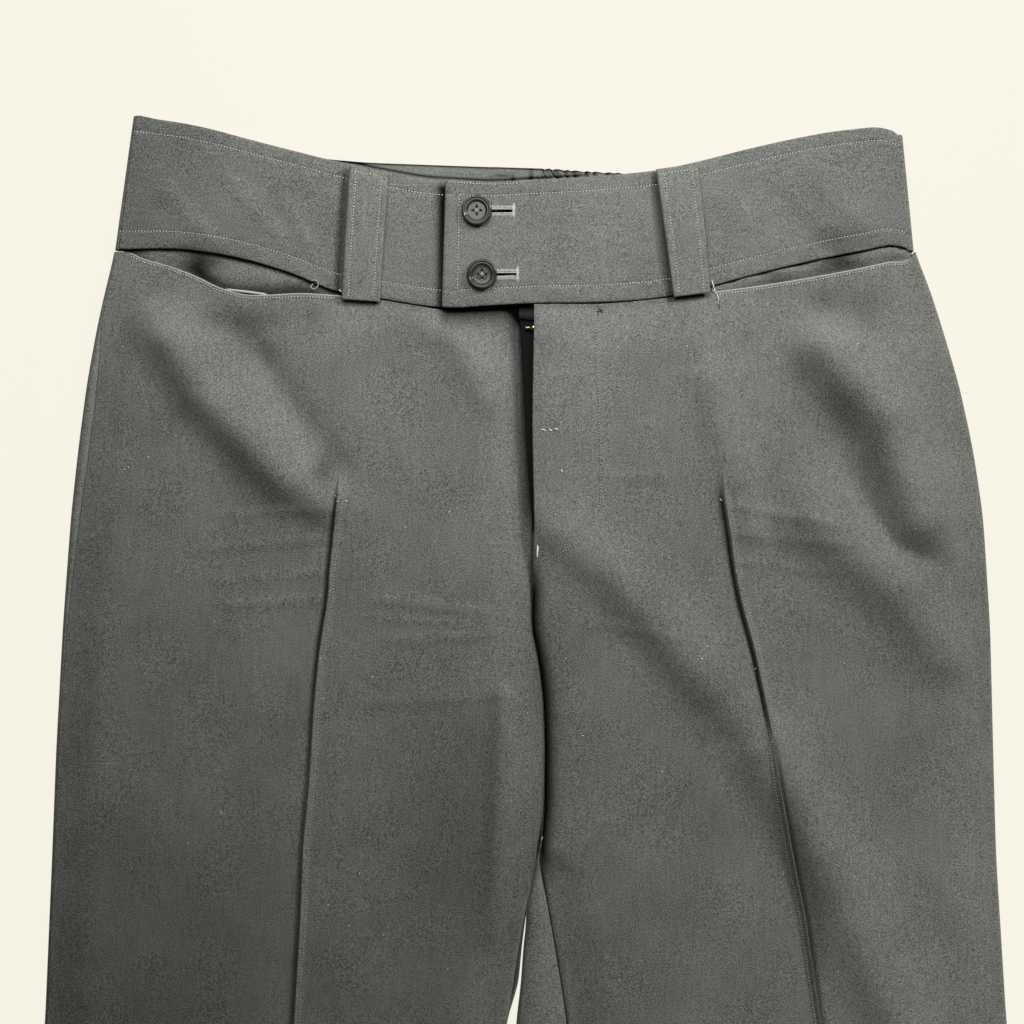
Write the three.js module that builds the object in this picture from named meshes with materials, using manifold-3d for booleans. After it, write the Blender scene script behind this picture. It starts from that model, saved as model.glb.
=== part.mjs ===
// Trousers laid flat on their back, waistband buttoned, zip closed.
// Lengths in mm. +X is the viewer's right, +Y points to the waist, +Z points up from the surface.
// Tables give places as "across" from the middle of the fly and "down" from the band's top corner.
// Left and right are the wearer's, so the right leg is at the viewer's left.
import * as THREE from "three";
import Module from "manifold-3d";

const ORIGIN_ACROSS = 32;
const ORIGIN_DOWN = 561.5;
const GAP = 0.3;

const CLOTH = 1.2;
const HEM_CLOTH = 1.9;
const HEM_START = 1083;
const TURN = 2.5;
const QUARTER = (TURN * Math.PI) / 2;
const TURN_STEP = QUARTER / 3;
const SIDE_REACH = 0.8;
const CROTCH = 363;
const LEG_PUFF = 2.4;
const EDGE_FADE = 22;

const BAND_CLOTH = 2;
const BAND_TURN = 2.8;
const BAND_TOP = 2 * BAND_TURN;
const TAB_TOP = BAND_TOP + BAND_CLOTH + GAP;
const TAB_END = 20;
const TAB_SLOPE_END = 62;

const table = (columns, rows) =>
  rows.map((row) => Object.fromEntries(columns.map((column, i) => [column, row[i]])));

// Side edges of the legs, and the side seam of the right leg, which lies just on top
const SIDES = table(["down", "right_edge", "right_seam", "left_edge"], [
  [60, -199.4, -198.4, 191.8],
  [66, -200.2, -199.2, 192.8],
  [79, -203.6, -202.4, 198.7],
  [90, -206.2, -204.9, 202.5],
  [101, -208.7, -206.5, 206],
  [131, -214.2, -208.4, 215],
  [163, -218.4, -212.4, 222],
  [196, -222, -217, 227],
  [250, -226, -223.4, 230.5],
  [311, -229.3, -227.9, 232],
  [363, -231.3, -230.3, 233.4],
  [445, -234.8, -233.8, 238.5],
  [600, -246, -245, 254.5],
  [830, -263, -262, 293],
  [1123, -285, -284, 349],
]);

// Stitched tuck creases down the middle of each leg
const TUCKS = table(["down", "right", "left"], [
  [60, -90.4, 96],
  [172, -90.2, 97.5],
  [187, -89.4, 98.2],
  [204, -91.9, 101.1],
  [222, -94, 103.6],
  [237, -94.9, 106.5],
  [249, -96.9, 109.8],
  [262, -99, 113.4],
  [290, -101.8, 119.1],
  [331, -104.4, 125.6],
  [356, -107, 130.4],
  [393, -108.4, 138.2],
  [445, -111.5, 146],
  [600, -124.5, 168],
  [1123, -170, 234],
]);

// Middle of the garment: fly edges, centre seam, then the inner edges of the legs
const MIDDLE = table(["down", "right_edge", "right_back", "left_seam", "left_edge"], [
  [60, -2.4, 9.75, 5.8, 10.2],
  [93, -1.6, 9.75, 5.8, 10.2],
  [101, -1, 9.85, 5.9, 10.3],
  [125, 0.4, 9.35, 5.4, 9.8],
  [151, 1.6, 8.95, 5, 9.4],
  [181, 3.4, 9.55, 5.6, 10],
  [201, 5.2, 10.05, 6.1, 10.5],
  [218, 5.1, 9.55, 5.6, 10],
  [251, 4.4, 8.85, 4.9, 9.3],
  [269, 8.1, 12.55, 8.6, 13],
  [288, 10.3, 14.75, 10.8, 15.2],
  [311, 11, 15.45, 11.5, 15.9],
  [341, 10.6, 13.55, 11.1, 14],
  [363, 8, 8, 9.3, 8.5],
  [376, 5.4, 5.4, 10.9, 5.9],
  [389, 2.3, 2.3, 13.1, 3],
  [408, -1.4, -1.4, 16.4, 0.7],
  [427, -4.3, -4.3, 19.6, -0.6],
  [445, -7.4, -7.4, 22.3, -2.8],
  [480, -10, -10, 22.8, -4.2],
  [540, -14.2, -14.2, 23, -1],
  [620, -19.8, -19.8, 30.5, 10],
  [720, -26.8, -26.8, 45, 29],
  [830, -34.5, -34.5, 65, 51],
  [960, -43.6, -43.6, 92, 80],
  [1123, -55, -55, 129, 119],
]);

// Rows of points down the panels; the first row follows each panel's own top edge
const ROWS = [
  66, 80, 93, 105, 118, 131, 145, 160, 173, 187, 202, 218, 235, 251, 269, 288, 311, 328, 346, CROTCH,
  376, 389, 408, 427, 445, 480, 540, 620, 720, 830, 960, HEM_START, 1123,
];
const TOP_EASE_END = 160;

// Top edges of the fronts: pocket lips at the sides, the waist seam between them
const FRONT_TOP_RIGHT = table(["across", "down"], [
  [-200, 66.6],
  [-192.7, 67.3],
  [-186.3, 70.1],
  [-173.7, 73.8],
  [-161.1, 78.4],
  [-147.5, 84.8],
  [-135.7, 87.9],
  [-124, 88],
  [-110.4, 87.3],
  [-91, 88.3],
  [-69.1, 90.6],
  [-53.1, 93.3],
  [-39.7, 95.3],
  [-16.2, 94.4],
  [0, 93.5],
]);
const FRONT_TOP_LEFT = table(["across", "down"], [
  [5.9, 93],
  [30.4, 92.7],
  [44.1, 92.1],
  [71.5, 89.4],
  [93.1, 86.7],
  [113, 84.1],
  [140.5, 79.7],
  [168, 74.5],
  [179.3, 72],
  [191.3, 69],
  [193.1, 66.8],
]);

// Waistband front and back, from the viewer's left to right
const BAND_FRONT = table(["top_across", "top_down", "low_across", "low_down"], [
  [-191.1, 0, -200.2, 65.7],
  [-157.8, 5.4, -166.1, 65.7],
  [-133.3, 11.8, -140.1, 69.6],
  [-108.8, 18.1, -114.7, 76.9],
  [-86.7, 23.5, -90.2, 86.5],
  [-65.2, 28.1, -69.1, 89.9],
  [-45.1, 31.4, -48, 93.3],
  [-33.8, 32.1, -35.3, 94.6],
  [-15.2, 33.1, -16.2, 93.6],
  [4.9, 32.1, 5.4, 92.5],
  [29.9, 30.7, 30.4, 92.1],
  [49.5, 28.7, 52.9, 90.9],
  [65.2, 26.9, 71.5, 88.7],
  [82.3, 23.5, 90.2, 84.3],
  [111.7, 16.2, 119.1, 76.7],
  [136.2, 10.8, 143.6, 71],
  [160.7, 6.9, 169.5, 65.9],
  [175.4, 5.9, 181.8, 63.7],
  [187.2, 9.3, 192.8, 66.4],
]);
const BAND_BACK = table(["top_across", "top_down", "low_across", "low_down"], [
  [-191.1, 0, -200.2, 65.7],
  [-157.8, 7.3, -166.1, 69.6],
  [-133.3, 14, -140.1, 75],
  [-108.8, 18.9, -114.7, 79.4],
  [-86.7, 21.5, -90.2, 82.3],
  [-46.3, 23.5, -48, 88.5],
  [-10.8, 24.7, -12.2, 91],
  [7.3, 25.3, 5.4, 93],
  [29.9, 26.7, 30.4, 93.8],
  [52.4, 27.8, 52.9, 94.5],
  [67.6, 27.7, 71.5, 94],
  [87.2, 24.5, 90.2, 90.5],
  [111.7, 18.1, 119.1, 82.5],
  [136.2, 12.7, 143.6, 75.5],
  [160.7, 8.8, 169.5, 67.6],
  [175.4, 7.8, 181.8, 65.4],
  [187.2, 9.3, 192.8, 66.4],
]);
const BAND_LEVELS = [0, 0.12, 0.5, 0.88, 1];
const BAND_SEAM_WRAP = { top: 0.8, low: 2 };
const RIGHT_BAND_END = 1;
const TAB_LEFT = -39.2;

// Places across each band where its surface has a row of points
const BAND_ROWS_RIGHT = [
  -183, -172, -158, -145, -133, -121, -109, -97, -86, -75, -65, -55, -45, -38, -25, -12, RIGHT_BAND_END,
];
const BAND_ROWS_LEFT = [
  TAB_LEFT, -30, -20, -10, 0, 10, TAB_END, 27, 34, 41, 48, 55, TAB_SLOPE_END,
  71, 80, 90, 104, 119, 131, 143.6, 156, 169.5, 181,
];
const BAND_ROWS_BACK_START = [-183, -166, -153, -140, -127, -114.7, -102, -90.2, -69, -48, -30, -12.2, 0];
const BAND_ROWS_BACK_END = [71.5, 90.2, 104, 119.1, 131, 143.6, 156, 169.5, 181.8];

// Largest folds of the fronts: a ridge from start to end, with its height and half width
const FOLDS = table(["from_across", "from_down", "to_across", "to_down", "height", "width"], [
  [-187, 83, -155, 137, 6, 10],
  [-155, 137, -114, 179, 6, 10],
  [-114, 179, -97, 191, 4, 8],
  [-150, 96, -128, 122, -2, 8],
  [-128, 122, -93, 172, -2.4, 8],
  [-64, 90, -36, 106, 3.6, 8],
  [-36, 106, -14, 138, 3.2, 8],
  [16, 203, 46, 226, 3.6, 9],
  [46, 226, 93, 280, 4.8, 9],
  [93, 280, 110, 300, 3, 8],
  [146, 115, 175, 149, 5.6, 10],
  [175, 149, 191, 198, 6, 10],
  [143, 197, 183, 233, 5.6, 10],
  [183, 233, 205, 262, 4.5, 10],
  [92, 130, 105, 178, 3, 9],
  [105, 178, 110, 200, 2.4, 10],
  [118, 312, 154, 376, 4.4, 12],
  [154, 376, 182, 422, 3.8, 13],
  [-8, 285, -12, 400, 2.6, 7],
  [-70, 310, -72, 350, -1.4, 26],
]);

const TUCK_HEIGHT = 1.9;
const TUCK_STITCH_HEIGHT = 0.5;
const TUCK_START = 172;
const TUCK_FULL = 187;
const TUCK_WIDTH = 2.5;
const TUCK_EDGE = 0.3;
const LEFT_TUCK_FLIP = 305;

// Fly flap lies over the zip and swells over the slider
const FLY_LIFT = 1.7;
const FLY_SLOPE_START = 18.4;
const FLY_WIDTH = 46;
const FLY_SLOPE_DOWN = 174;
const FLY_END = 214;
const SLIDER_SWELL = 2.4;
const SLIDER_SWELL_WIDTH = 13;

// Hollow beside the centre seam, from below the zip to the crotch
const VALLEY_DEPTH = 4.4;
const VALLEY_WIDTH = 5;
const VALLEY_START = 210;
const VALLEY_FULL = 255;

// Where the cloth begins to lift below the waist seam, and where the centre seam opens above the crotch
const LIFT_START = 88;
const LIFT_FULL = 128;
const CROTCH_BLEND = 340;
const CROTCH_TURNED = 389;
const SEAM_SPARE = 0.05;
const POINT_STEP = 0.35;

const clamp = (value, low, high) => Math.min(high, Math.max(low, value));

function ease(from, to, value) {
  const t = clamp((value - from) / (to - from), 0, 1);
  return t * t * (3 - 2 * t);
}

function lookUp(rows, key, at, column) {
  const last = rows.length - 1;
  if (at <= rows[0][key]) return rows[0][column];
  if (at >= rows[last][key]) return rows[last][column];
  const i = rows.findIndex((row) => row[key] > at) - 1;
  const share = (at - rows[i][key]) / (rows[i + 1][key] - rows[i][key]);
  return rows[i][column] + share * (rows[i + 1][column] - rows[i][column]);
}

const place = (across, down, z) => [across - ORIGIN_ACROSS, ORIGIN_DOWN - down, z];

function foldHeight(across, down) {
  let height = 0;
  for (const fold of FOLDS) {
    const runX = fold.to_across - fold.from_across;
    const runY = fold.to_down - fold.from_down;
    const reached = (across - fold.from_across) * runX + (down - fold.from_down) * runY;
    const t = clamp(reached / (runX ** 2 + runY ** 2), 0, 1);
    const dx = across - fold.from_across - t * runX;
    const dy = down - fold.from_down - t * runY;
    const bump = fold.height * Math.exp(-(dx ** 2 + dy ** 2) / fold.width ** 2);
    height = fold.height > 0 ? Math.max(height, bump) : height + bump;
  }
  return height;
}

// Height of the front cloth above its level at the turned edges
function lift(across, down, leftEdge, rightEdge) {
  const inside = Math.min(across - leftEdge, rightEdge - across) - TURN;
  const fade = ease(0, EDGE_FADE, inside) * ease(LIFT_START, LIFT_FULL, down);
  return fade * (LEG_PUFF + foldHeight(across, down));
}

function flyLift(across, down) {
  const beside = 1 - ease(FLY_SLOPE_START, FLY_WIDTH, across);
  const flap = FLY_LIFT * beside * (1 - ease(FLY_SLOPE_DOWN, FLY_END, down));
  const away = Math.hypot(across - SLIDER_ACROSS, down - SLIDER_DOWN) / SLIDER_SWELL_WIDTH;
  return flap + SLIDER_SWELL * Math.exp(-(away ** 2));
}

const wallAt = (down) => CLOTH + (HEM_CLOTH - CLOTH) * ease(HEM_START - 20, HEM_START, down);

// A point of the outer face at a length round a turned edge,
// which is zero at the edge, plus over the top and minus beneath
function turned(edge, inward, length, radius, wall, topRise) {
  const quarter = (radius * Math.PI) / 2;
  const over = Math.max(0, Math.abs(length) - quarter);
  const angle = clamp(length / radius, -Math.PI / 2, Math.PI / 2);
  const across = edge + inward * (radius - radius * Math.cos(angle) + over);
  const rise = length >= quarter ? topRise(across) : 0;
  const z = radius + radius * Math.sin(angle) + rise;
  return {
    across,
    z,
    innerAcross: across + inward * wall * Math.cos(angle) * (over > 0 ? 0 : 1),
    innerZ: z - wall * Math.sin(angle),
  };
}

const flat = (across, z, innerZ) => ({ across, z, innerAcross: across, innerZ });

// How far round the turn a point lies whose across offset from the edge is known
function lengthAt(offset) {
  return offset < TURN ? TURN * Math.acos(1 - offset / TURN) : QUARTER + offset - TURN;
}

function wallGeometry(outer, inner) {
  const positions = [];
  const indices = [];
  const rows = outer.length;
  const columns = outer[0].length;
  for (const grid of [outer, inner]) {
    for (const row of grid) {
      for (const point of row) positions.push(...point);
    }
  }
  const at = (side, row, column) => side * rows * columns + row * columns + column;
  const quad = (a, b, c, d) => indices.push(a, b, c, a, c, d);
  for (let row = 0; row < rows - 1; row += 1) {
    for (let column = 0; column < columns - 1; column += 1) {
      const below = row + 1;
      const next = column + 1;
      quad(at(0, row, column), at(0, below, column), at(0, below, next), at(0, row, next));
      quad(at(1, row, column), at(1, row, next), at(1, below, next), at(1, below, column));
    }
  }
  for (let row = 0; row < rows - 1; row += 1) {
    const last = columns - 1;
    quad(at(0, row, 0), at(1, row, 0), at(1, row + 1, 0), at(0, row + 1, 0));
    quad(at(0, row, last), at(0, row + 1, last), at(1, row + 1, last), at(1, row, last));
  }
  for (let column = 0; column < columns - 1; column += 1) {
    const last = rows - 1;
    quad(at(0, 0, column), at(0, 0, column + 1), at(1, 0, column + 1), at(1, 0, column));
    quad(at(0, last, column), at(1, last, column), at(1, last, column + 1), at(0, last, column + 1));
  }
  const geometry = new THREE.BufferGeometry();
  geometry.setAttribute("position", new THREE.Float32BufferAttribute(positions, 3));
  geometry.setIndex(indices);
  return geometry;
}

function panelGeometry(makeRow, topDown) {
  const outer = [];
  const inner = [];
  for (const station of ROWS) {
    const nominal = makeRow(station);
    const outerRow = [];
    const innerRow = [];
    nominal.forEach((point, column) => {
      const top = topDown(point.across);
      const share = (station - ROWS[0]) / (TOP_EASE_END - ROWS[0]);
      const down = station < TOP_EASE_END ? top + share * (TOP_EASE_END - top) : station;
      const moved = makeRow(down)[column];
      outerRow.push(place(moved.across, down, moved.z));
      innerRow.push(place(moved.innerAcross, down, moved.innerZ));
    });
    outer.push(outerRow);
    inner.push(innerRow);
  }
  return wallGeometry(outer, inner);
}

// Places evenly between two others
function spread(from, to, count) {
  const step = (to - from) / (count + 1);
  return Array.from({ length: count }, (_, i) => from + step * (i + 1));
}

// Heights over the tuck: a stitched fold whose edge leans to one side
function tuckHeights(down, lean) {
  const full = ease(TUCK_START, TUCK_FULL, down);
  const left = [0, 0, TUCK_HEIGHT, TUCK_STITCH_HEIGHT];
  const right = [TUCK_STITCH_HEIGHT, TUCK_HEIGHT, 0, 0];
  return left.map((height, i) => full * (height * (1 - lean) + right[i] * lean));
}

const TUCK_OFFSETS = [-TUCK_WIDTH, -TUCK_EDGE, TUCK_EDGE, TUCK_WIDTH];
const FRONT_POINTS = 9;
const BACK_POINTS = 5;
const SEAM_OFFSETS = [0, 1.5, 3.5, 6.5];

function frontMiddle(from, crease, to, down, lean, rise) {
  const wall = wallAt(down);
  const heights = tuckHeights(down, lean);
  const level = (across) => 2 * TURN + rise(across);
  const plain = (across) => flat(across, level(across), level(across) - wall);
  return [
    ...spread(from, crease - TUCK_WIDTH, FRONT_POINTS).map(plain),
    ...TUCK_OFFSETS.map((offset, i) => {
      const across = crease + offset;
      return flat(across, level(across) + heights[i], level(across) - wall);
    }),
    ...spread(crease + TUCK_WIDTH, to, FRONT_POINTS).map(plain),
  ];
}

// Lengths round a turned edge for a front panel that starts just past the side seam
function frontTurn(seamLength) {
  const start = seamLength + GAP;
  return [start, ...[1, 2, 3].map((k) => Math.max(start + POINT_STEP * k, TURN_STEP * k))];
}

function frontRightRow(down) {
  const edge = lookUp(SIDES, "down", down, "right_edge");
  const seam = lookUp(SIDES, "down", down, "right_seam");
  const middle = lookUp(MIDDLE, "down", down, "right_edge");
  const crease = lookUp(TUCKS, "down", down, "right");
  const rise = (across) => lift(across, down, edge, middle);
  const wall = wallAt(down);
  const side = frontTurn(lengthAt(seam - edge)).map((s) => turned(edge, 1, s, TURN, wall, rise));
  const innerLengths = [3, 2, 1, 0].map((k) => TURN_STEP * k + GAP / 2);
  const inner = innerLengths.map((s) => turned(middle, -1, s, TURN, wall, rise));
  const body = frontMiddle(side[3].across, crease, inner[0].across, down, 0, rise);
  return [...side, ...body, ...inner];
}

function frontLeftRow(down) {
  const edge = lookUp(SIDES, "down", down, "left_edge");
  const seam = lookUp(MIDDLE, "down", down, "left_seam");
  const crease = lookUp(TUCKS, "down", down, "left");
  const wall = wallAt(down);
  const closed = 1 - ease(CROTCH_BLEND, CROTCH, down);
  const valley = VALLEY_DEPTH * ease(VALLEY_START, VALLEY_FULL, down) * closed;
  const sink = (across) => valley * Math.exp(-(across - seam) / VALLEY_WIDTH);
  const start = down < CROTCH ? seam - EDGE_FADE : seam;
  const rise = (across) =>
    lift(across, down, start, edge) + flyLift(across, down) - sink(across);
  const lean = ease(LEFT_TUCK_FLIP - 20, LEFT_TUCK_FLIP + 20, down);
  const level = (across) => 2 * TURN + rise(across);
  const inner = SEAM_OFFSETS.map((offset) => {
    const across = seam + offset;
    return flat(across, level(across), level(across) - wall);
  });
  const side = frontTurn(SIDE_REACH)
    .map((s) => turned(edge, -1, s, TURN, wall, rise))
    .reverse();
  const body = frontMiddle(inner[3].across, crease, side[0].across, down, lean, rise);
  return [...inner, ...body, ...side];
}

// Lengths round a turned edge for a back panel that ends at "reach",
// which is plus on the front side and minus beneath
function backTurn(reach) {
  const base = [
    reach,
    Math.min(QUARTER, 0.6 * reach),
    Math.min(QUARTER / 2, 0.3 * reach),
    0,
    -QUARTER / 2,
    -QUARTER,
  ];
  return base.map((length, k) => Math.min(length, reach - POINT_STEP * k));
}

// Above the crotch a back panel ends flat at the centre seam, and below it turns up to meet the front
function backInner(down, edge, inward, reachBelow) {
  const turnedUp = ease(CROTCH_BLEND, CROTCH, down);
  const reach = down < CROTCH ? -QUARTER * (1 - turnedUp) - GAP / 2 : reachBelow;
  const shift = TURN - TURN * Math.cos(Math.min(0, reach) / TURN);
  return { edge: edge - inward * shift, reach };
}

function backRow(down, side, inner, sideInward) {
  const wall = wallAt(down);
  const edges = [side.edge, inner.edge];
  const rise = (across) => lift(across, down, Math.min(...edges), Math.max(...edges));
  const turn = ({ edge, reach }, inward) =>
    backTurn(reach).map((s) => turned(edge, inward, s, TURN, wall, rise));
  const outerTurn = turn(side, sideInward);
  const innerTurn = turn(inner, -sideInward);
  const from = outerTurn[outerTurn.length - 1].across;
  const to = innerTurn[innerTurn.length - 1].across;
  const body = spread(from, to, BACK_POINTS).map((across) => flat(across, 0, wall));
  return [...outerTurn, ...body, ...innerTurn.reverse()];
}

function backRightRow(down) {
  const edge = lookUp(SIDES, "down", down, "right_edge");
  const seam = lookUp(SIDES, "down", down, "right_seam");
  const middle = lookUp(MIDDLE, "down", down, "right_back");
  const side = { edge, reach: lengthAt(seam - edge) };
  return backRow(down, side, backInner(down, middle, -1, -GAP / 2), 1);
}

function backLeftRow(down) {
  const edge = lookUp(SIDES, "down", down, "left_edge");
  const middle = lookUp(MIDDLE, "down", down, "left_edge");
  const clear = GAP + SEAM_SPARE + CLOTH * (1 - ease(CROTCH, CROTCH_TURNED, down));
  const seam = Math.max(middle, lookUp(MIDDLE, "down", down, "left_seam") - clear);
  const reach = down < CROTCH ? 0 : lengthAt(seam - middle);
  return backRow(down, { edge, reach: SIDE_REACH }, backInner(down, middle, 1, reach), -1);
}

// Band: a row of places along it, each a line from its top edge to its lower edge
function bandAt(band, lowAcross, level) {
  const topAcross = lookUp(band, "low_across", lowAcross, "top_across");
  const topDown = lookUp(band, "low_across", lowAcross, "top_down");
  const lowDown = lookUp(band, "low_across", lowAcross, "low_down");
  return {
    across: topAcross + (lowAcross - topAcross) * level,
    down: topDown + (lowDown - topDown) * level,
  };
}

function bandTurn(edgeAcross, inward, length) {
  const point = turned(edgeAcross, inward, length, BAND_TURN, BAND_CLOTH, () => 0);
  return {
    shift: point.across - edgeAcross,
    z: point.z,
    innerShift: point.innerAcross - edgeAcross,
    innerZ: point.innerZ,
  };
}

function bandWall(band, columns, levels) {
  const outer = [];
  const inner = [];
  for (const level of levels) {
    const outerRow = [];
    const innerRow = [];
    for (const column of columns) {
      const spot = bandAt(band, column.at, level);
      const bend = column.bend(level);
      outerRow.push(place(spot.across + bend.shift, spot.down, bend.z));
      innerRow.push(place(spot.across + bend.innerShift, spot.down, bend.innerZ));
    }
    outer.push(outerRow);
    inner.push(innerRow);
  }
  return wallGeometry(outer, inner);
}

// A column of a band that lies level, its outer face at z
const levelColumn = (at, z, innerZ) => ({ at, bend: () => ({ shift: 0, innerShift: 0, z, innerZ }) });

function bandLevel(across) {
  return TAB_TOP - (TAB_TOP - BAND_TOP) * ease(TAB_END, TAB_SLOPE_END, across);
}

const BAND_LEFT_EDGE = BAND_FRONT[0].low_across;
const BAND_RIGHT_EDGE = BAND_FRONT[BAND_FRONT.length - 1].low_across;
const BAND_QUARTER = (BAND_TURN * Math.PI) / 2;

// How far the back band wraps round the side edge onto the front
function wrapLength(level) {
  const offset = BAND_SEAM_WRAP.top + (BAND_SEAM_WRAP.low - BAND_SEAM_WRAP.top) * level;
  return BAND_TURN * Math.acos(1 - offset / BAND_TURN);
}

function bandFrontRight() {
  const start = [0, 1, 2].map((k) => ({
    at: BAND_LEFT_EDGE,
    bend: (level) => bandTurn(BAND_LEFT_EDGE, 1, wrapLength(level) + GAP + k),
  }));
  const body = BAND_ROWS_RIGHT.map((at) => levelColumn(at, BAND_TOP, BAND_TOP - BAND_CLOTH));
  return bandWall(BAND_FRONT, [...start, ...body], BAND_LEVELS);
}

function bandFrontLeft() {
  const body = BAND_ROWS_LEFT.map((at) => levelColumn(at, bandLevel(at), bandLevel(at) - BAND_CLOTH));
  const end = [3, 2, 1, 0].map((k) => ({
    at: BAND_RIGHT_EDGE,
    bend: () => bandTurn(BAND_RIGHT_EDGE, -1, (BAND_QUARTER * k) / 3 + GAP / 2),
  }));
  return bandWall(BAND_FRONT, [...body, ...end], BAND_LEVELS);
}

const GATHER_START = 8;
const GATHER_END = 58;
const GATHER_PITCH = 2.5;
const GATHER_HEIGHT = 0.7;

function bandBack() {
  const overEdge = [1, 0.75, 0.5, 0.25].map((share) => ({
    at: BAND_LEFT_EDGE,
    bend: (level) => bandTurn(BAND_LEFT_EDGE, 1, wrapLength(level) * share),
  }));
  const underEdge = [0, -1, -2, -3].map((k) => ({
    at: BAND_LEFT_EDGE,
    bend: () => bandTurn(BAND_LEFT_EDGE, 1, (BAND_QUARTER * k) / 3),
  }));
  const right = [-3, -2, -1, 0].map((k) => ({
    at: BAND_RIGHT_EDGE,
    bend: () => bandTurn(BAND_RIGHT_EDGE, -1, (BAND_QUARTER * k) / 3 - GAP / 2),
  }));
  const gathers = Math.round((GATHER_END - GATHER_START) / GATHER_PITCH);
  const gathered = Array.from({ length: gathers + 1 }, (_, i) => {
    const crest = i % 2 === 1 ? GATHER_HEIGHT : 0;
    return levelColumn(GATHER_START + i * GATHER_PITCH, 0, BAND_CLOTH + crest);
  });
  const body = [
    ...BAND_ROWS_BACK_START.map((at) => levelColumn(at, 0, BAND_CLOTH)),
    ...gathered,
    ...BAND_ROWS_BACK_END.map((at) => levelColumn(at, 0, BAND_CLOTH)),
  ];
  return bandWall(BAND_BACK, [...overEdge, ...underEdge, ...body, ...right], BAND_LEVELS);
}

// Belt loops stand over the band, sewn down at both ends
const LOOP_CLOTH = 1.2;
const LOOP_CROWN = 0.25;
const LOOP_CORNERS = table(["side", "end", "left", "left_down", "right", "right_down"], [
  ["right", "top", -84, 24.7, -65.2, 28.7],
  ["right", "low", -88.1, 90.6, -69.5, 91.9],
  ["left", "top", 65.5, 26.9, 86.1, 24.2],
  ["left", "low", 74.2, 89.5, 92.1, 87.4],
]);
const LOOP_ARCH = table(["level", "rise"], [
  [0, 0.3],
  [0.05, 0.9],
  [0.15, 1.6],
  [0.3, 2.1],
  [0.5, 2.3],
  [0.7, 2.1],
  [0.85, 1.6],
  [0.95, 1.1],
  [1, 0.7],
]);

function loopGeometry(side) {
  const [top, low] = LOOP_CORNERS.filter((row) => row.side === side);
  const between = (end, share) => ({
    across: end.left + share * (end.right - end.left),
    down: end.left_down + share * (end.right_down - end.left_down),
  });
  const outer = [];
  const inner = [];
  for (const { level, rise } of LOOP_ARCH) {
    const outerRow = [];
    const innerRow = [];
    for (const share of [0, 0.1, 0.5, 0.9, 1]) {
      const from = between(top, share);
      const to = between(low, share);
      const across = from.across + level * (to.across - from.across);
      const down = from.down + level * (to.down - from.down);
      const crown = share === 0.5 ? LOOP_CROWN : 0;
      const under = BAND_TOP + rise + GAP + crown;
      outerRow.push(place(across, down, under + LOOP_CLOTH));
      innerRow.push(place(across, down, under));
    }
    outer.push(outerRow);
    inner.push(innerRow);
  }
  return wallGeometry(outer, inner);
}

// Facings seen inside the pocket mouths, lying between the bands and the panels
const FACING_LEVEL = BAND_CLOTH + GAP;
const FACING_CLOTH = 1;
const FACINGS = table(["side", "left", "left_down", "right", "right_down"], [
  ["right", -195.5, 56, -88, 74],
  ["left", 92, 72, 188.5, 56],
]);
const FACING_DEPTH = 50;
const FACING_COLUMNS = 6;

function facingGeometry(side) {
  const facing = FACINGS.find((row) => row.side === side);
  const outer = [];
  const inner = [];
  for (const depth of [0, 0.25, 0.5, 0.75, 1]) {
    const outerRow = [];
    const innerRow = [];
    for (let i = 0; i <= FACING_COLUMNS; i += 1) {
      const share = i / FACING_COLUMNS;
      const across = facing.left + share * (facing.right - facing.left);
      const top = facing.left_down + share * (facing.right_down - facing.left_down);
      const down = top + depth * FACING_DEPTH;
      outerRow.push(place(across, down, FACING_LEVEL + FACING_CLOTH));
      innerRow.push(place(across, down, FACING_LEVEL));
    }
    outer.push(outerRow);
    inner.push(innerRow);
  }
  return wallGeometry(outer, inner);
}

// Zip: tape with the closed chain, slider with its bar, and the pull on the bar
const TAPE_LEVEL = CLOTH + GAP;
const TAPE_CLOTH = 0.6;
const TAPE_HALF = 16;
const CHAIN_HALF = 2.3;
const CHAIN_HEIGHT = 1.2;
const ZIP_TOP = 95;
const ZIP_END = 204;
const SLIDER_ACROSS = 12;
const SLIDER_DOWN = 104;
const SLIDER_HALF_WIDTH = 3.5;
const SLIDER_HALF_LENGTH = 4.6;
const PLATE = 0.8;
const FLANGE = 0.8;
const BAR_RADIUS = 0.4;
const EYE_HOLE = 0.7;
const EYE_RADIUS = 1.3;
const EYE_HALF = 1.2;
const POST = 0.8;
const POST_WIDTH = 1.4;
const CHAIN_SHORTER = 4;
const EYE_OVERLAP = 0.3;
const PULL_LENGTH = 11.2;
const PULL_HALF_WIDTH = 1.1;
const PULL_HALF_THICK = 0.55;
const PULL_TILT = -15;
const BALL_RADIUS = 1.25;
const BALL_ALONG = 6.6;
const CHAIN_TOP = TAPE_LEVEL + TAPE_CLOTH + CHAIN_HEIGHT;
const PLATE_LEVEL = CHAIN_TOP + GAP;
const BAR_LEVEL = PLATE_LEVEL + PLATE + GAP + EYE_RADIUS;

const BUTTON_RADIUS = 7.4;
const BUTTON_HOLE = 0.75;
const BUTTON_HOLE_PITCH = 1.6;
const SHANK_RADIUS = 0.6;
const SHANK_INTO_BUTTON = 0.5;
const BUTTONS = table(["name", "across", "down", "slot_end"], [
  ["upper", -22.1, 47.5, -4.4],
  ["lower", -19.6, 78.6, -2.5],
]);
const SLOT_HALF = 1;
const SLOT_LEAD = 1;
const BUTTON_PROFILE = [
  [0, 0],
  [5.6, 0],
  [6.8, 0.5],
  [BUTTON_RADIUS, 1.4],
  [7.2, 2.3],
  [6.6, 2.7],
  [6, 2.55],
  [5.2, 1.9],
  [3.2, 1.6],
  [0, 1.6],
];

const wasm = await Module();
wasm.setup();
const { Manifold, Mesh } = wasm;

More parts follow.
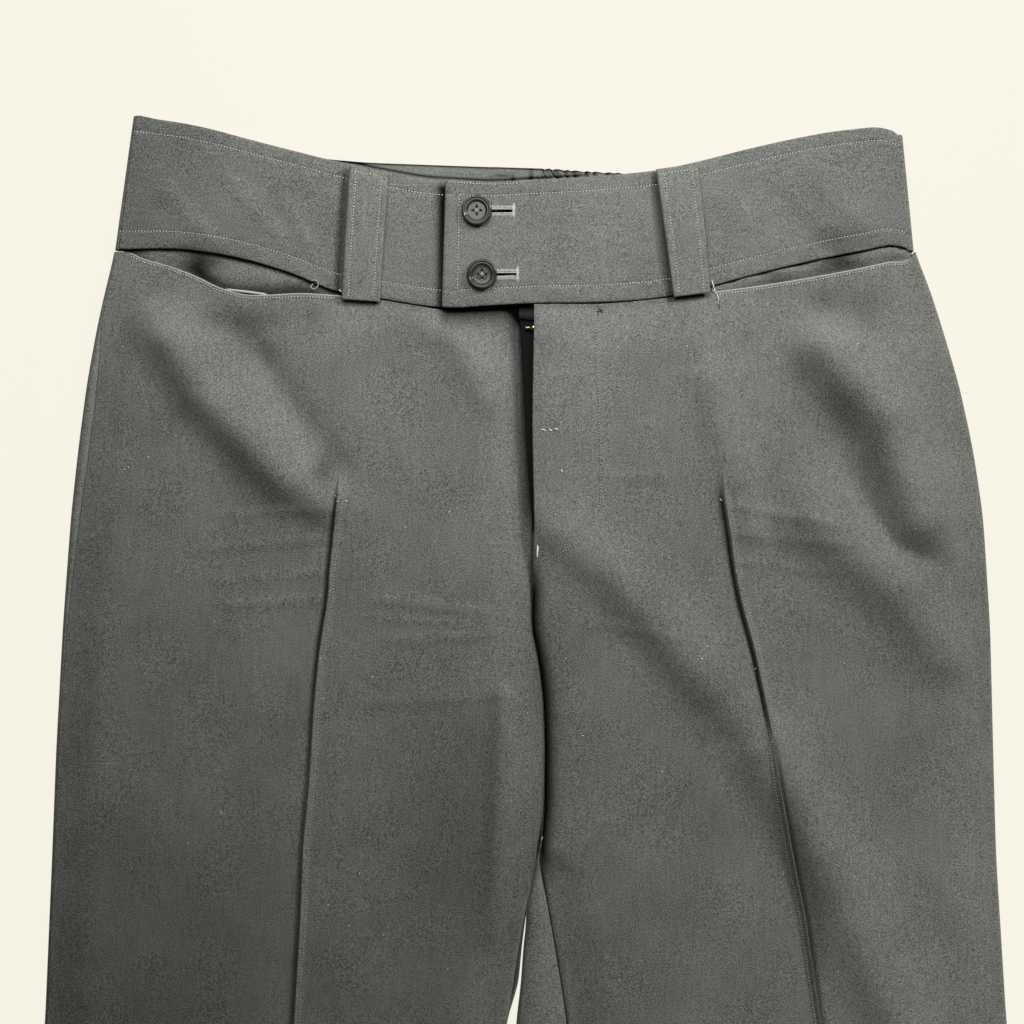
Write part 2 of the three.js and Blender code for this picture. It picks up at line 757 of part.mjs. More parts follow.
function box(x, y, z, sizeX, sizeY, sizeZ) {
  return Manifold.cube([sizeX, sizeY, sizeZ], true).translate([x, y, z]);
}

function solidOf(geometry) {
  const position = geometry.getAttribute("position");
  return new Manifold(
    new Mesh({
      numProp: 3,
      vertProperties: Float32Array.from(position.array),
      triVerts: Uint32Array.from(geometry.getIndex().array),
    }),
  );
}

function geometryOf(solid) {
  const mesh = solid.getMesh();
  const geometry = new THREE.BufferGeometry();
  const positions = [];
  for (let i = 0; i < mesh.numVert; i += 1) {
    for (let k = 0; k < 3; k += 1) positions.push(mesh.vertProperties[i * mesh.numProp + k]);
  }
  geometry.setAttribute("position", new THREE.Float32BufferAttribute(positions, 3));
  geometry.setIndex(Array.from(mesh.triVerts));
  return geometry;
}

const [sliderX, sliderY] = place(SLIDER_ACROSS, SLIDER_DOWN, 0);

function zipTape() {
  const middleY = ORIGIN_DOWN - (ZIP_TOP + ZIP_END) / 2;
  const length = ZIP_END - ZIP_TOP;
  const tape = box(sliderX, middleY, TAPE_LEVEL + TAPE_CLOTH / 2, 2 * TAPE_HALF, length, TAPE_CLOTH);
  const chain = box(
    sliderX,
    middleY,
    TAPE_LEVEL + (TAPE_CLOTH + CHAIN_HEIGHT) / 2,
    2 * CHAIN_HALF,
    length - CHAIN_SHORTER,
    TAPE_CLOTH + CHAIN_HEIGHT,
  );
  return geometryOf(tape.add(chain));
}

function zipSlider() {
  const plateMiddle = PLATE_LEVEL + PLATE / 2;
  const width = 2 * SLIDER_HALF_WIDTH;
  const plate = box(sliderX, sliderY, plateMiddle, width, 2 * SLIDER_HALF_LENGTH, PLATE);
  const low = TAPE_LEVEL + TAPE_CLOTH + GAP;
  const flangeHeight = plateMiddle - low;
  const flanges = [-1, 1].map((side) =>
    box(
      sliderX + side * (SLIDER_HALF_WIDTH - FLANGE / 2),
      sliderY,
      low + flangeHeight / 2,
      FLANGE,
      2 * SLIDER_HALF_LENGTH,
      flangeHeight,
    ),
  );
  const postAt = EYE_HALF + GAP + POST / 2;
  const postHeight = BAR_LEVEL + BAR_RADIUS - plateMiddle;
  const posts = [-1, 1].map((side) =>
    box(sliderX, sliderY + side * postAt, plateMiddle + postHeight / 2, POST_WIDTH, POST, postHeight),
  );
  const bar = Manifold.cylinder(2 * postAt, BAR_RADIUS, BAR_RADIUS, 16, true)
    .rotate([90, 0, 0])
    .translate([sliderX, sliderY, BAR_LEVEL]);
  return geometryOf([...flanges, ...posts, bar].reduce((solid, piece) => solid.add(piece), plate));
}

function zipPull() {
  const eye = Manifold.cylinder(2 * EYE_HALF, EYE_RADIUS, EYE_RADIUS, 24, true).rotate([90, 0, 0]);
  const hole = Manifold.cylinder(4 * EYE_HALF, EYE_HOLE, EYE_HOLE, 24, true).rotate([90, 0, 0]);
  const start = EYE_RADIUS - EYE_OVERLAP;
  const middle = -(start + PULL_LENGTH) / 2;
  const blade = box(middle, 0, 0, PULL_LENGTH - start, 2 * PULL_HALF_WIDTH, 2 * PULL_HALF_THICK);
  const ball = Manifold.sphere(BALL_RADIUS, 20).translate([-BALL_ALONG, 0, 0]);
  const pull = eye.add(blade).add(ball).subtract(hole);
  return geometryOf(pull.rotate([0, PULL_TILT, 0]).translate([sliderX, sliderY, BAR_LEVEL]));
}

function tabWithHoles() {
  const slots = BUTTONS.map((button) => {
    const [x, y] = place((button.across - SLOT_LEAD + button.slot_end) / 2, button.down, 0);
    const length = button.slot_end - button.across + SLOT_LEAD;
    return box(x, y, TAB_TOP, length, 2 * SLOT_HALF, 3 * BAND_CLOTH);
  });
  return geometryOf(slots.reduce((solid, slot) => solid.subtract(slot), solidOf(bandFrontLeft())));
}

function buttonGeometry(name) {
  const button = BUTTONS.find((row) => row.name === name);
  const [x, y] = place(button.across, button.down, 0);
  const level = TAB_TOP + GAP;
  const disc = Manifold.revolve([BUTTON_PROFILE], 36).translate([0, 0, level]);
  const low = BAND_TOP + GAP;
  const shankHeight = level + SHANK_INTO_BUTTON - low;
  const shank = Manifold.cylinder(shankHeight, SHANK_RADIUS, SHANK_RADIUS, 12).translate([0, 0, low]);
  const holes = [
    [BUTTON_HOLE_PITCH, 0],
    [-BUTTON_HOLE_PITCH, 0],
    [0, BUTTON_HOLE_PITCH],
    [0, -BUTTON_HOLE_PITCH],
  ].map(([dx, dy]) => Manifold.cylinder(5, BUTTON_HOLE, BUTTON_HOLE, 12).translate([dx, dy, level - 1]));
  const solid = holes.reduce((body, hole) => body.subtract(hole), disc).add(shank);
  return geometryOf(solid.translate([x, y, 0]));
}

const backTop = (across) => lookUp(BAND_BACK, "low_across", across, "low_down") + 3 * GAP;
const frontTop = (rows) => (across) => lookUp(rows, "across", across, "down");

const CLOTH_COLOR = 0x4b4c4a;
const BUTTON_COLOR = 0x17181a;
const BRASS_COLOR = 0xb9964f;
const TAPE_COLOR = 0x26272a;

const PIECES = table(["name", "color", "geometry"], [
  ["front_right", CLOTH_COLOR, panelGeometry(frontRightRow, frontTop(FRONT_TOP_RIGHT))],
  ["front_left", CLOTH_COLOR, panelGeometry(frontLeftRow, frontTop(FRONT_TOP_LEFT))],
  ["back_right", CLOTH_COLOR, panelGeometry(backRightRow, backTop)],
  ["back_left", CLOTH_COLOR, panelGeometry(backLeftRow, backTop)],
  ["waistband_front_right", CLOTH_COLOR, bandFrontRight()],
  ["waistband_front_left", CLOTH_COLOR, tabWithHoles()],
  ["waistband_back", CLOTH_COLOR, bandBack()],
  ["belt_loop_right", CLOTH_COLOR, loopGeometry("right")],
  ["belt_loop_left", CLOTH_COLOR, loopGeometry("left")],
  ["pocket_facing_right", CLOTH_COLOR, facingGeometry("right")],
  ["pocket_facing_left", CLOTH_COLOR, facingGeometry("left")],
  ["zip_tape", TAPE_COLOR, zipTape()],
  ["zip_slider", BRASS_COLOR, zipSlider()],
  ["zip_pull", BRASS_COLOR, zipPull()],
  ["button_upper", BUTTON_COLOR, buttonGeometry("upper")],
  ["button_lower", BUTTON_COLOR, buttonGeometry("lower")],
]);

// Turns a closed surface the right way out
function facingOut(geometry) {
  const position = geometry.getAttribute("position");
  const index = Array.from(geometry.getIndex().array);
  const corners = [new THREE.Vector3(), new THREE.Vector3(), new THREE.Vector3()];
  let volume = 0;
  for (let i = 0; i < index.length; i += 3) {
    corners.forEach((corner, k) => corner.fromBufferAttribute(position, index[i + k]));
    volume += corners[0].dot(corners[1].clone().cross(corners[2]));
  }
  if (volume < 0) index.reverse();
  geometry.setIndex(index);
  geometry.computeVertexNormals();
  return geometry;
}

const group = new THREE.Group();
group.name = "trousers";
for (const piece of PIECES) {
  const material = new THREE.MeshStandardMaterial({ color: piece.color, roughness: 0.85 });
  const mesh = new THREE.Mesh(facingOut(piece.geometry), material);
  mesh.name = piece.name;
  group.add(mesh);
}

export default group;
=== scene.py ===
import bmesh
import bpy
import numpy as np
from mathutils import Matrix, Vector


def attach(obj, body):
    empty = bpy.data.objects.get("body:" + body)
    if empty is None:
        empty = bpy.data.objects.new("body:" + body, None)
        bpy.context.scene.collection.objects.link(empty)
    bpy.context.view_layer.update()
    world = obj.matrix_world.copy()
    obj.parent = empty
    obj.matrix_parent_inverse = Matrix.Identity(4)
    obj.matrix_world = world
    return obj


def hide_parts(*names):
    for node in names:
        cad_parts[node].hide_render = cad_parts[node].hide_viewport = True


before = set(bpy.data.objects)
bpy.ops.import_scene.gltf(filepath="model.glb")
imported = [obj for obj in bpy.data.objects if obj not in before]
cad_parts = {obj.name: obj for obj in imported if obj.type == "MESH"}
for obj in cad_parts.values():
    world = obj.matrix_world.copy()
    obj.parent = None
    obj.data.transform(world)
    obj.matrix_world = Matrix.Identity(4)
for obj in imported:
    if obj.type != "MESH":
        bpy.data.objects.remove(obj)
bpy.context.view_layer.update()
BODY = "trousers"
PULL_BODY = "zip_pull"
MM = 0.001
RNG = np.random.default_rng(7)

ORIGIN_ACROSS = 32.0
ORIGIN_DOWN = 561.5
GAP = 0.3
CLOTH = 1.2
TURN = 2.5
QUARTER = TURN * np.pi / 2
SIDE_REACH = 0.8
CROTCH = 363.0
LEG_PUFF = 2.4
EDGE_FADE = 22.0
HEM = 1123.0

BAND_CLOTH = 2.0
BAND_TURN = 2.8
BAND_QUARTER = BAND_TURN * np.pi / 2
BAND_TOP = 2 * BAND_TURN
TAB_TOP = BAND_TOP + BAND_CLOTH + GAP
TAB_END = 20.0
TAB_SLOPE_END = 62.0


def table(columns, rows):
    grid = np.array(rows, float)
    return {name: grid[:, i] for i, name in enumerate(columns)}


SIDES = table(
    ["down", "right_edge", "right_seam", "left_edge"],
    [
        [60, -199.4, -198.4, 191.8], [66, -200.2, -199.2, 192.8], [79, -203.6, -202.4, 198.7],
        [90, -206.2, -204.9, 202.5], [101, -208.7, -206.5, 206], [131, -214.2, -208.4, 215],
        [163, -218.4, -212.4, 222], [196, -222, -217, 227], [250, -226, -223.4, 230.5],
        [311, -229.3, -227.9, 232], [363, -231.3, -230.3, 233.4], [445, -234.8, -233.8, 238.5],
        [600, -246, -245, 254.5], [830, -263, -262, 293], [1123, -285, -284, 349],
    ],
)
TUCKS = table(
    ["down", "right", "left"],
    [
        [60, -90.4, 96], [172, -90.2, 97.5], [187, -89.4, 98.2], [204, -91.9, 101.1],
        [222, -94, 103.6], [237, -94.9, 106.5], [249, -96.9, 109.8], [262, -99, 113.4],
        [290, -101.8, 119.1], [331, -104.4, 125.6], [356, -107, 130.4], [393, -108.4, 138.2],
        [445, -111.5, 146], [600, -124.5, 168], [1123, -170, 234],
    ],
)
MIDDLE = table(
    ["down", "right_edge", "right_back", "left_seam", "left_edge"],
    [
        [60, -2.4, 9.75, 5.8, 10.2], [93, -1.6, 9.75, 5.8, 10.2], [101, -1, 9.85, 5.9, 10.3],
        [125, 0.4, 9.35, 5.4, 9.8], [151, 1.6, 8.95, 5, 9.4], [181, 3.4, 9.55, 5.6, 10],
        [201, 5.2, 10.05, 6.1, 10.5], [218, 5.1, 9.55, 5.6, 10], [251, 4.4, 8.85, 4.9, 9.3],
        [269, 8.1, 12.55, 8.6, 13], [288, 10.3, 14.75, 10.8, 15.2], [311, 11, 15.45, 11.5, 15.9],
        [341, 10.6, 13.55, 11.1, 14], [363, 8, 8, 9.3, 8.5], [376, 5.4, 5.4, 10.9, 5.9],
        [389, 2.3, 2.5, 13.1, 3], [408, -1.4, 0, 16.4, 0.7], [427, -4.3, -1.7, 19.6, -0.6],
        [445, -7.4, -7.4, 22.3, -2.8], [480, -10, -10, 22.8, -4.2], [540, -14.2, -14.2, 23, -1],
        [620, -19.8, -19.8, 30.5, 10], [720, -26.8, -26.8, 45, 29], [830, -34.5, -34.5, 65, 51],
        [960, -43.6, -43.6, 92, 80], [1123, -55, -55, 129, 119],
    ],
)
FRONT_TOP_RIGHT = table(
    ["across", "down"],
    [
        [-200, 66.6], [-192.7, 67.3], [-186.3, 70.1], [-173.7, 73.8], [-161.1, 78.4],
        [-147.5, 84.8], [-135.7, 87.9], [-124, 88], [-110.4, 87.3], [-91, 88.3], [-69.1, 90.6],
        [-53.1, 93.3], [-39.7, 95.3], [-16.2, 94.4], [0, 93.5],
    ],
)
FRONT_TOP_LEFT = table(
    ["across", "down"],
    [
        [5.9, 93], [30.4, 92.7], [44.1, 92.1], [71.5, 89.4], [93.1, 86.7], [113, 84.1],
        [140.5, 79.7], [168, 74.5], [179.3, 72], [191.3, 69], [193.1, 66.8],
    ],
)
BAND_COLUMNS = ["top_across", "top_down", "low_across", "low_down"]
BAND_FRONT = table(
    BAND_COLUMNS,
    [
        [-191.1, 0, -200.2, 65.7], [-157.8, 5.4, -166.1, 65.7], [-133.3, 11.8, -140.1, 69.6],
        [-108.8, 18.1, -114.7, 76.9], [-86.7, 23.5, -90.2, 86.5], [-65.2, 28.1, -69.1, 89.9],
        [-45.1, 31.4, -48, 93.3], [-33.8, 32.1, -35.3, 94.6], [-15.2, 33.1, -16.2, 93.6],
        [4.9, 32.1, 5.4, 92.5], [29.9, 30.7, 30.4, 92.1], [49.5, 28.7, 52.9, 90.9],
        [65.2, 26.9, 71.5, 88.7], [82.3, 23.5, 90.2, 84.3], [111.7, 16.2, 119.1, 76.7],
        [136.2, 10.8, 143.6, 71], [160.7, 6.9, 169.5, 65.9], [175.4, 5.9, 181.8, 63.7],
        [187.2, 9.3, 192.8, 66.4],
    ],
)
BAND_BACK = table(
    BAND_COLUMNS,
    [
        [-191.1, 0, -200.2, 65.7], [-157.8, 7.3, -166.1, 69.6], [-133.3, 14, -140.1, 75],
        [-108.8, 18.9, -114.7, 79.4], [-86.7, 21.5, -90.2, 82.3], [-46.3, 23.5, -48, 88.5],
        [-10.8, 24.7, -12.2, 91], [7.3, 25.3, 5.4, 93], [29.9, 26.7, 30.4, 93.8],
        [52.4, 27.8, 52.9, 94.5], [67.6, 27.7, 71.5, 94], [87.2, 24.5, 90.2, 90.5],
        [111.7, 18.1, 119.1, 82.5], [136.2, 12.7, 143.6, 75.5], [160.7, 8.8, 169.5, 67.6],
        [175.4, 7.8, 181.8, 65.4], [187.2, 9.3, 192.8, 66.4],
    ],
)
BAND_SEAM_WRAP = (0.8, 2.0)
TAB_LEFT = -39.2
RIGHT_BAND_END = 1.0

# Ridges of the fronts: height and half width, one side steeper where "lean" says so
FOLDS = [
    # from across, down, to across, down, height, width
    (-187, 83, -155, 137, 7, 14),
    (-155, 137, -114, 179, 7.2, 14),
    (-114, 179, -97, 191, 5, 12),
    (-150, 96, -128, 122, -2, 9),
    (-128, 122, -93, 172, -2.4, 9),
    (-64, 90, -36, 106, 3.4, 11),
    (-36, 106, -14, 138, 3, 11),
    (16, 203, 46, 226, 4.2, 13),
    (46, 226, 93, 280, 5.4, 14),
    (93, 280, 110, 300, 3.6, 13),
    (146, 115, 175, 149, 10.2, 15.5),
    (175, 149, 193, 198, 10.8, 16.5),
    (143, 197, 183, 233, 7, 17),
    (183, 233, 205, 262, 5.8, 16),
    (92, 130, 105, 178, 3, 11),
    (105, 178, 110, 200, 2.4, 11),
    (118, 312, 154, 376, 6, 16),
    (154, 376, 182, 442, 6, 17),
    (-8, 285, -12, 400, 2.6, 7),
    (-70, 310, -72, 350, -1.4, 26),
]

# Folds that run down to the right are a little steeper on their lower left
FOLD_LEAN = 0.1
FOLD_LEAN_REACH = 8.0
# How sharply neighbouring folds keep apart where they meet
BLEND = 7

# Faint press lines across the legs: from across, down, to across, down, height, width
PRESS_LINES = [
    (-142, 196, -96, 193, 0.4, 2.2),
    (-150, 212, -98, 208, 0.5, 2.5),
    (-146, 228, -100, 224, 0.4, 2.4),
    (-140, 240, -102, 237, 0.5, 2.2),
    (-66, 238, -4, 246, 0.55, 2.8),
    (-72, 246, -20, 250, 0.35, 2),
    (-60, 257, 0, 254, 0.45, 2.4),
    (-70, 288, -10, 284, 0.4, 3),
    (106, 192, 150, 200, 0.5, 2.2),
    (108, 206, 152, 210, 0.45, 2.4),
    (110, 219, 146, 224, 0.35, 2.2),
    (40, 250, 78, 256, 0.4, 2.4),
    (12, 293, 26, 292, 0.45, 2),
    (40, 176, 66, 178, 0.35, 2.4),
]
PRESS_LINE_FADE = 60.0

TUCK_HEIGHT = 1.9
TUCK_STITCH_HEIGHT = 0.5
TUCK_START = 172.0
TUCK_FULL = 187.0
TUCK_WIDTH = 2.5
TUCK_EDGE = 0.12
TUCK_BACK = 1.4
LEFT_TUCK_FLIP = 305.0
LEFT_TUCK_HALF_TURN = 20.0

FLY_LIFT = 1.7
FLY_WIDTH = 46.0
FLY_END = 214.0
SLIDER_ACROSS = 12.0
SLIDER_DOWN = 104.0
SLIDER_SWELL = 2.4
SLIDER_SWELL_WIDTH = 13.0
VALLEY_DEPTH = 4.4
VALLEY_WIDTH = 5.0
PRESSED_TOGETHER = 1.0
TAB_DIP = 1.5
ZIP_DIP = 1.2
LIFT_START = 84.0
LIFT_FULL = 114.0
RIPPLE = 0.16


# Shapes shared by the pieces
def ease(start, end, value):
    t = np.clip((value - start) / (end - start), 0, 1)
    return t * t * (3 - 2 * t)


def bell(offset, width):
    return np.exp(-((offset / width) ** 2))


DENSE_DOWN = np.arange(40.0, 1140.0, 1.0)


def smooth_line(rows, column, width=4.0):
    """A table's column against down, with its corners rounded."""
    pad = int(4 * width)
    values = np.interp(DENSE_DOWN, rows["down"], rows[column])
    before = values[0] + (values[0] - values[1]) * np.arange(pad, 0, -1)
    after = values[-1] + (values[-1] - values[-2]) * np.arange(1, pad + 1)
    kernel = np.exp(-(np.arange(-pad, pad + 1) ** 2) / (2 * width**2))
    smoothed = np.convolve(np.concatenate([before, values, after]), kernel / kernel.sum(), "valid")
    return lambda down: np.interp(down, DENSE_DOWN, smoothed)


right_side = smooth_line(SIDES, "right_edge", 7.0)
right_side_seam = smooth_line(SIDES, "right_seam", 7.0)
left_side = smooth_line(SIDES, "left_edge", 7.0)
right_crease = smooth_line(TUCKS, "right")
left_crease = smooth_line(TUCKS, "left")
right_middle = smooth_line(MIDDLE, "right_edge")
right_back_middle = smooth_line(MIDDLE, "right_back")
left_seam = smooth_line(MIDDLE, "left_seam")
left_leg_edge = smooth_line(MIDDLE, "left_edge")


def left_middle(down):
    """The left leg's inner edge, pressed against the right leg just below the crotch."""
    return left_leg_edge(down) - PRESSED_TOGETHER * ease(352, 362, down) * (1 - ease(385, 402, down))


def curve(rows, key, column, at):
    """A table's column as a smooth curve through its points."""
    xs, ys = rows[key], rows[column]
    slopes = np.gradient(ys, xs)
    at = np.clip(at, xs[0], xs[-1])
    i = np.clip(np.searchsorted(xs, at) - 1, 0, len(xs) - 2)
    span = xs[i + 1] - xs[i]
    t = (at - xs[i]) / span
    start = (2 * t**3 - 3 * t**2 + 1) * ys[i] + (t**3 - 2 * t**2 + t) * span * slopes[i]
    end = (3 * t**2 - 2 * t**3) * ys[i + 1] + (t**3 - t**2) * span * slopes[i + 1]
    return start + end


def right_top(across):
    return curve(FRONT_TOP_RIGHT, "across", "down", across)


def left_top(across):
    return curve(FRONT_TOP_LEFT, "across", "down", across)


def band_low(across, band=BAND_FRONT):
    return curve(band, "low_across", "low_down", across)


def off_line(across, down, x0, y0, x1, y1):
    """How far places lie from the nearest point of a straight line, across and down."""
    run_x, run_y = x1 - x0, y1 - y0
    along = ((across - x0) * run_x + (down - y0) * run_y) / (run_x**2 + run_y**2)
    t = np.clip(along, 0, 1)
    return across - x0 - t * run_x, down - y0 - t * run_y


def ridges(across, down):
    """Raised folds, which keep apart where they meet, less the sunk ones."""
    raised = np.zeros(np.broadcast(across, down).shape)
    sunk = raised.copy()
    for x0, y0, x1, y1, tall, width in FOLDS:
        off_across, off_down = off_line(across, down, x0, y0, x1, y1)
        if tall > 0:
            side = ((x1 - x0) * off_down - (y1 - y0) * off_across) / np.hypot(x1 - x0, y1 - y0)
            wide = width * (1 - FOLD_LEAN * np.tanh(side / FOLD_LEAN_REACH))
            raised += (tall * np.exp(-(off_across**2 + off_down**2) / wide**2)) ** BLEND
        else:
            sunk += -tall * np.exp(-(off_across**2 + off_down**2) / width**2)
    return raised ** (1 / BLEND) - sunk


def press_lines(across, down):
    height = np.zeros(np.broadcast(across, down).shape)
    for x0, y0, x1, y1, tall, width in PRESS_LINES:
        past_end, aside = off_line(across, down, x0, y0, x1, y1)
        height += tall * np.exp(-(aside**2) / width**2 - past_end**2 / PRESS_LINE_FADE)
    return height


WAVES = [(RNG.uniform(0.006, 0.03), RNG.uniform(0, np.pi), RNG.uniform(0, 6.28)) for _ in range(14)]


def ripple(across, down, size):
    """A soft unevenness of the cloth, the same at every run."""
    height = 0
    for pitch, turn, phase in WAVES:
        along = across * np.cos(turn) + down * np.sin(turn)
        height = height + np.sin(2 * np.pi * pitch * along + phase)
    return size * height / np.sqrt(len(WAVES))


def lift(across, down, left, right):
    inside = np.minimum(across - left, right - across) - TURN
    fade = ease(0, EDGE_FADE, inside) * ease(LIFT_START, LIFT_FULL, down)
    soft = ripple(across, down, RIPPLE) + press_lines(across, down)
    return fade * (LEG_PUFF + ridges(across, down) + soft)


def fly_lift(across, down):
    flap = FLY_LIFT * (1 - ease(FLY_WIDTH * 0.4, FLY_WIDTH, across)) * (1 - ease(FLY_END - 40, FLY_END, down))
    from_slider = np.hypot(across - SLIDER_ACROSS, down - SLIDER_DOWN)
    return flap + SLIDER_SWELL * bell(from_slider, SLIDER_SWELL_WIDTH)


def tuck(offset, down, lean):
    """Height over the stitched fold beside its edge; lean 0 falls off at the left, 1 at the right."""
    full = ease(TUCK_START, TUCK_FULL, down)

    def side(distance):
        rise = TUCK_STITCH_HEIGHT + (TUCK_HEIGHT - TUCK_STITCH_HEIGHT) * (1 - ease(0.3, TUCK_WIDTH, distance))
        back = 1 - ease(TUCK_WIDTH, TUCK_WIDTH + TUCK_BACK, distance)
        return np.where(distance > 0, rise * np.where(distance > TUCK_WIDTH, back, 1), 0)

    left = side(offset + TUCK_EDGE) * ease(-TUCK_EDGE, 0.2, offset)
    right = side(TUCK_EDGE - offset) * ease(-TUCK_EDGE, 0.2, -offset)
    return full * (left * (1 - lean) + right * lean)


def right_height(across, down):
    under_tab = ease(TAB_LEFT - 6, TAB_LEFT + 2, across) * np.exp(-np.maximum(down - 92, 0) / 7)
    from_edge = right_middle(down) - across
    by_zip = ease(16, 5, from_edge) * ease(2.2, 5, from_edge)
    by_zip = by_zip * ease(96, 110, down) * (1 - ease(190, 215, down))
    level = 2 * TURN + lift(across, down, right_side(down), right_middle(down))
    level = level - TAB_DIP * under_tab - ZIP_DIP * by_zip
    return level + tuck(across - right_crease(down), down, 0.0)


def left_level(across, down):
    seam = left_seam(down)
    valley = VALLEY_DEPTH * ease(210, 255, down) * (1 - ease(340, CROTCH, down))
    sink = valley * np.exp(-np.maximum(across - seam, 0) / VALLEY_WIDTH)
    start = seam - EDGE_FADE * (1 - ease(CROTCH - 12, CROTCH + 12, down))
    return 2 * TURN + lift(across, down, start, left_side(down)) + fly_lift(across, down) - sink


def left_lean(down):
    return ease(LEFT_TUCK_FLIP - LEFT_TUCK_HALF_TURN, LEFT_TUCK_FLIP + LEFT_TUCK_HALF_TURN, down)


def left_height(across, down):
    return left_level(across, down) + tuck(across - left_crease(down), down, left_lean(down))


def turned(edge, inward, length, radius, rise):
    """Across and height of the outer face at a length round a turned edge, more than 0 above the edge."""
    quarter = radius * np.pi / 2
    over = np.maximum(0, np.abs(length) - quarter)
    angle = np.clip(length / radius, -np.pi / 2, np.pi / 2)
    across = edge + inward * (radius - radius * np.cos(angle) + over)
    return across, radius + radius * np.sin(angle) + np.where(length >= quarter, rise(across), 0)


def length_at(offset):
    inside = TURN * np.arccos(np.clip(1 - offset / TURN, -1, 1))
    return np.where(offset < TURN, inside, QUARTER + offset - TURN)


# Meshes
def place(across, down, height):
    return np.stack([across - ORIGIN_ACROSS, ORIGIN_DOWN - down, height], axis=-1) * MM


def add_object(name, data):
    made = bpy.data.objects.new(name, data)
    bpy.context.scene.collection.objects.link(made)
    return made


def mesh_object(name, points, faces):
    mesh = bpy.data.meshes.new(name)
    mesh.from_pydata(points.tolist(), [], faces)
    mesh.update()
    mesh.shade_smooth()
    return add_object(name, mesh)


def ring_faces(start, rings, sides, closed=False):
    """Faces between rings of points that follow one another from a first point on."""
    faces = []
    for ring in range(rings if closed else rings - 1):
        low = start + ring * sides
        high = start + (ring + 1) % rings * sides
        for k in range(sides):
            after = (k + 1) % sides
            faces.append((low + k, low + after, high + after, high + k))
    return faces


def cloth_piece(name, across, down, height, thick, holes=None, under=False):
    """A shell of cloth below the surface given, or above it for a piece that lies underneath."""
    index = np.arange(across.size).reshape(across.shape)
    quads = np.stack([index[:-1, :-1], index[1:, :-1], index[1:, 1:], index[:-1, 1:]], axis=-1)
    faces = quads.reshape(-1, 4) if holes is None else quads[~holes]
    if under:
        faces = faces[:, ::-1]
    piece = mesh_object(name, place(across, down, height).reshape(-1, 3), faces.tolist())
    wall = piece.modifiers.new("wall", "SOLIDIFY")
    wall.thickness = thick * MM
    wall.offset = -1.0
    return piece


VISIBLE_END = 460.0
STEP = 1.7
HIDDEN_STEP = 9.0
PANEL_START = 66.0
TOP_EASE_END = 160.0
STATIONS = np.concatenate(
    [np.arange(PANEL_START, VISIBLE_END, STEP), np.arange(VISIBLE_END, HEM, HIDDEN_STEP), [HEM]]
)


def eased_down(top):
    """The stations with their first stretch moved so that it starts at the panel's top edge."""
    share = (STATIONS - PANEL_START) / (TOP_EASE_END - PANEL_START)
    return np.where(STATIONS < TOP_EASE_END, top + share * (TOP_EASE_END - top), STATIONS)


def panel(name, columns, top_of, under=False):
    """A panel from columns, each a function of down that gives across and height."""
    across, down, height = [], [], []
    for column in columns:
        line_down = STATIONS
        for _ in range(3):
            line_down = eased_down(top_of(column(line_down)[0]))
        line_across, line_height = column(line_down)
        across.append(line_across)
        down.append(line_down)
        height.append(line_height)
    grid = [np.stack(lines, 1) for lines in (across, down, height)]
    return cloth_piece(name, *grid, CLOTH, under=under)


TUCK_SIDE = [0.08, 0.2, 0.45, 0.8, 1.3, 1.9, 2.5, 3.3, 4.2]
TUCK_OFFSETS = [-offset for offset in reversed(TUCK_SIDE)] + [0] + TUCK_SIDE
SEAM_OFFSETS = (0, 0.5, 1.2, 2, 3, 4.2, 5.5)
BODY_COLUMNS = 58
BACK_COLUMNS = 24
TURN_STEPS = 6
LEAST_STEP = 0.2


def constant(value):
    return lambda at: np.full(len(at), value)


def across_of(column):
    return lambda down: column(down)[0]


def beside(line, offset, height_at):
    def column(down):
        across = line(down) + offset
        return across, height_at(across, down)

    return column


def spread(left, right, count, height_at):
    """Columns spread evenly between two lines."""
    def between(share):
        def column(down):
            across = left(down) + share * (right(down) - left(down))
            return across, height_at(across, down)

        return column

    return [between((k + 0.5) / count) for k in range(count)]


def round_edge(edge, inward, length_of, height_at):
    """A column at a length round a turned edge of a leg."""
    def column(down):
        return turned(edge(down), inward, length_of(down), TURN, lambda x: height_at(x, down) - 2 * TURN)

    return column


def front_columns(left, crease, right, height_at):
    first = spread(left, lambda down: crease(down) + TUCK_OFFSETS[0], BODY_COLUMNS, height_at)
    middle = [beside(crease, offset, height_at) for offset in TUCK_OFFSETS]
    last = spread(lambda down: crease(down) + TUCK_OFFSETS[-1], right, BODY_COLUMNS, height_at)
    return first + middle + last


def front_turn(edge, inward, seam_length, height_at):
    """Columns from a front's seam over the turned edge to its top."""
    def length_of(k):
        return lambda down: np.maximum(seam_length(down) + GAP + LEAST_STEP * k, QUARTER * k / TURN_STEPS)

    return [round_edge(edge, inward, length_of(k), height_at) for k in range(TURN_STEPS + 1)]


def back_turn(edge, inward, reach, height_at):
    """Columns from a back panel's end round its turned edge to the flat underside."""
    def length_of(k):
        def length(down):
            end = reach(down)
            if k < TURN_STEPS:
                left_over = 1 - k / TURN_STEPS
                target = np.minimum(np.where(end > 0, end * left_over, 0), QUARTER * left_over) if k else end
            else:
                target = -QUARTER * (k - TURN_STEPS) / TURN_STEPS
            return np.minimum(target, end - LEAST_STEP * k)

        return length

    return [round_edge(edge, inward, length_of(k), height_at) for k in range(2 * TURN_STEPS + 1)]


def right_side_length(down):
    return length_at(right_side_seam(down) - right_side(down))


def make_front_right():
    side = front_turn(right_side, 1, right_side_length, right_height)
    lengths = [GAP / 2 + QUARTER * k / TURN_STEPS for k in range(TURN_STEPS, -1, -1)]
    inner = [round_edge(right_middle, -1, constant(length), right_height) for length in lengths]
    body = front_columns(across_of(side[-1]), right_crease, across_of(inner[0]), right_height)
    return panel("front_right_cloth", side + body + inner, right_top)


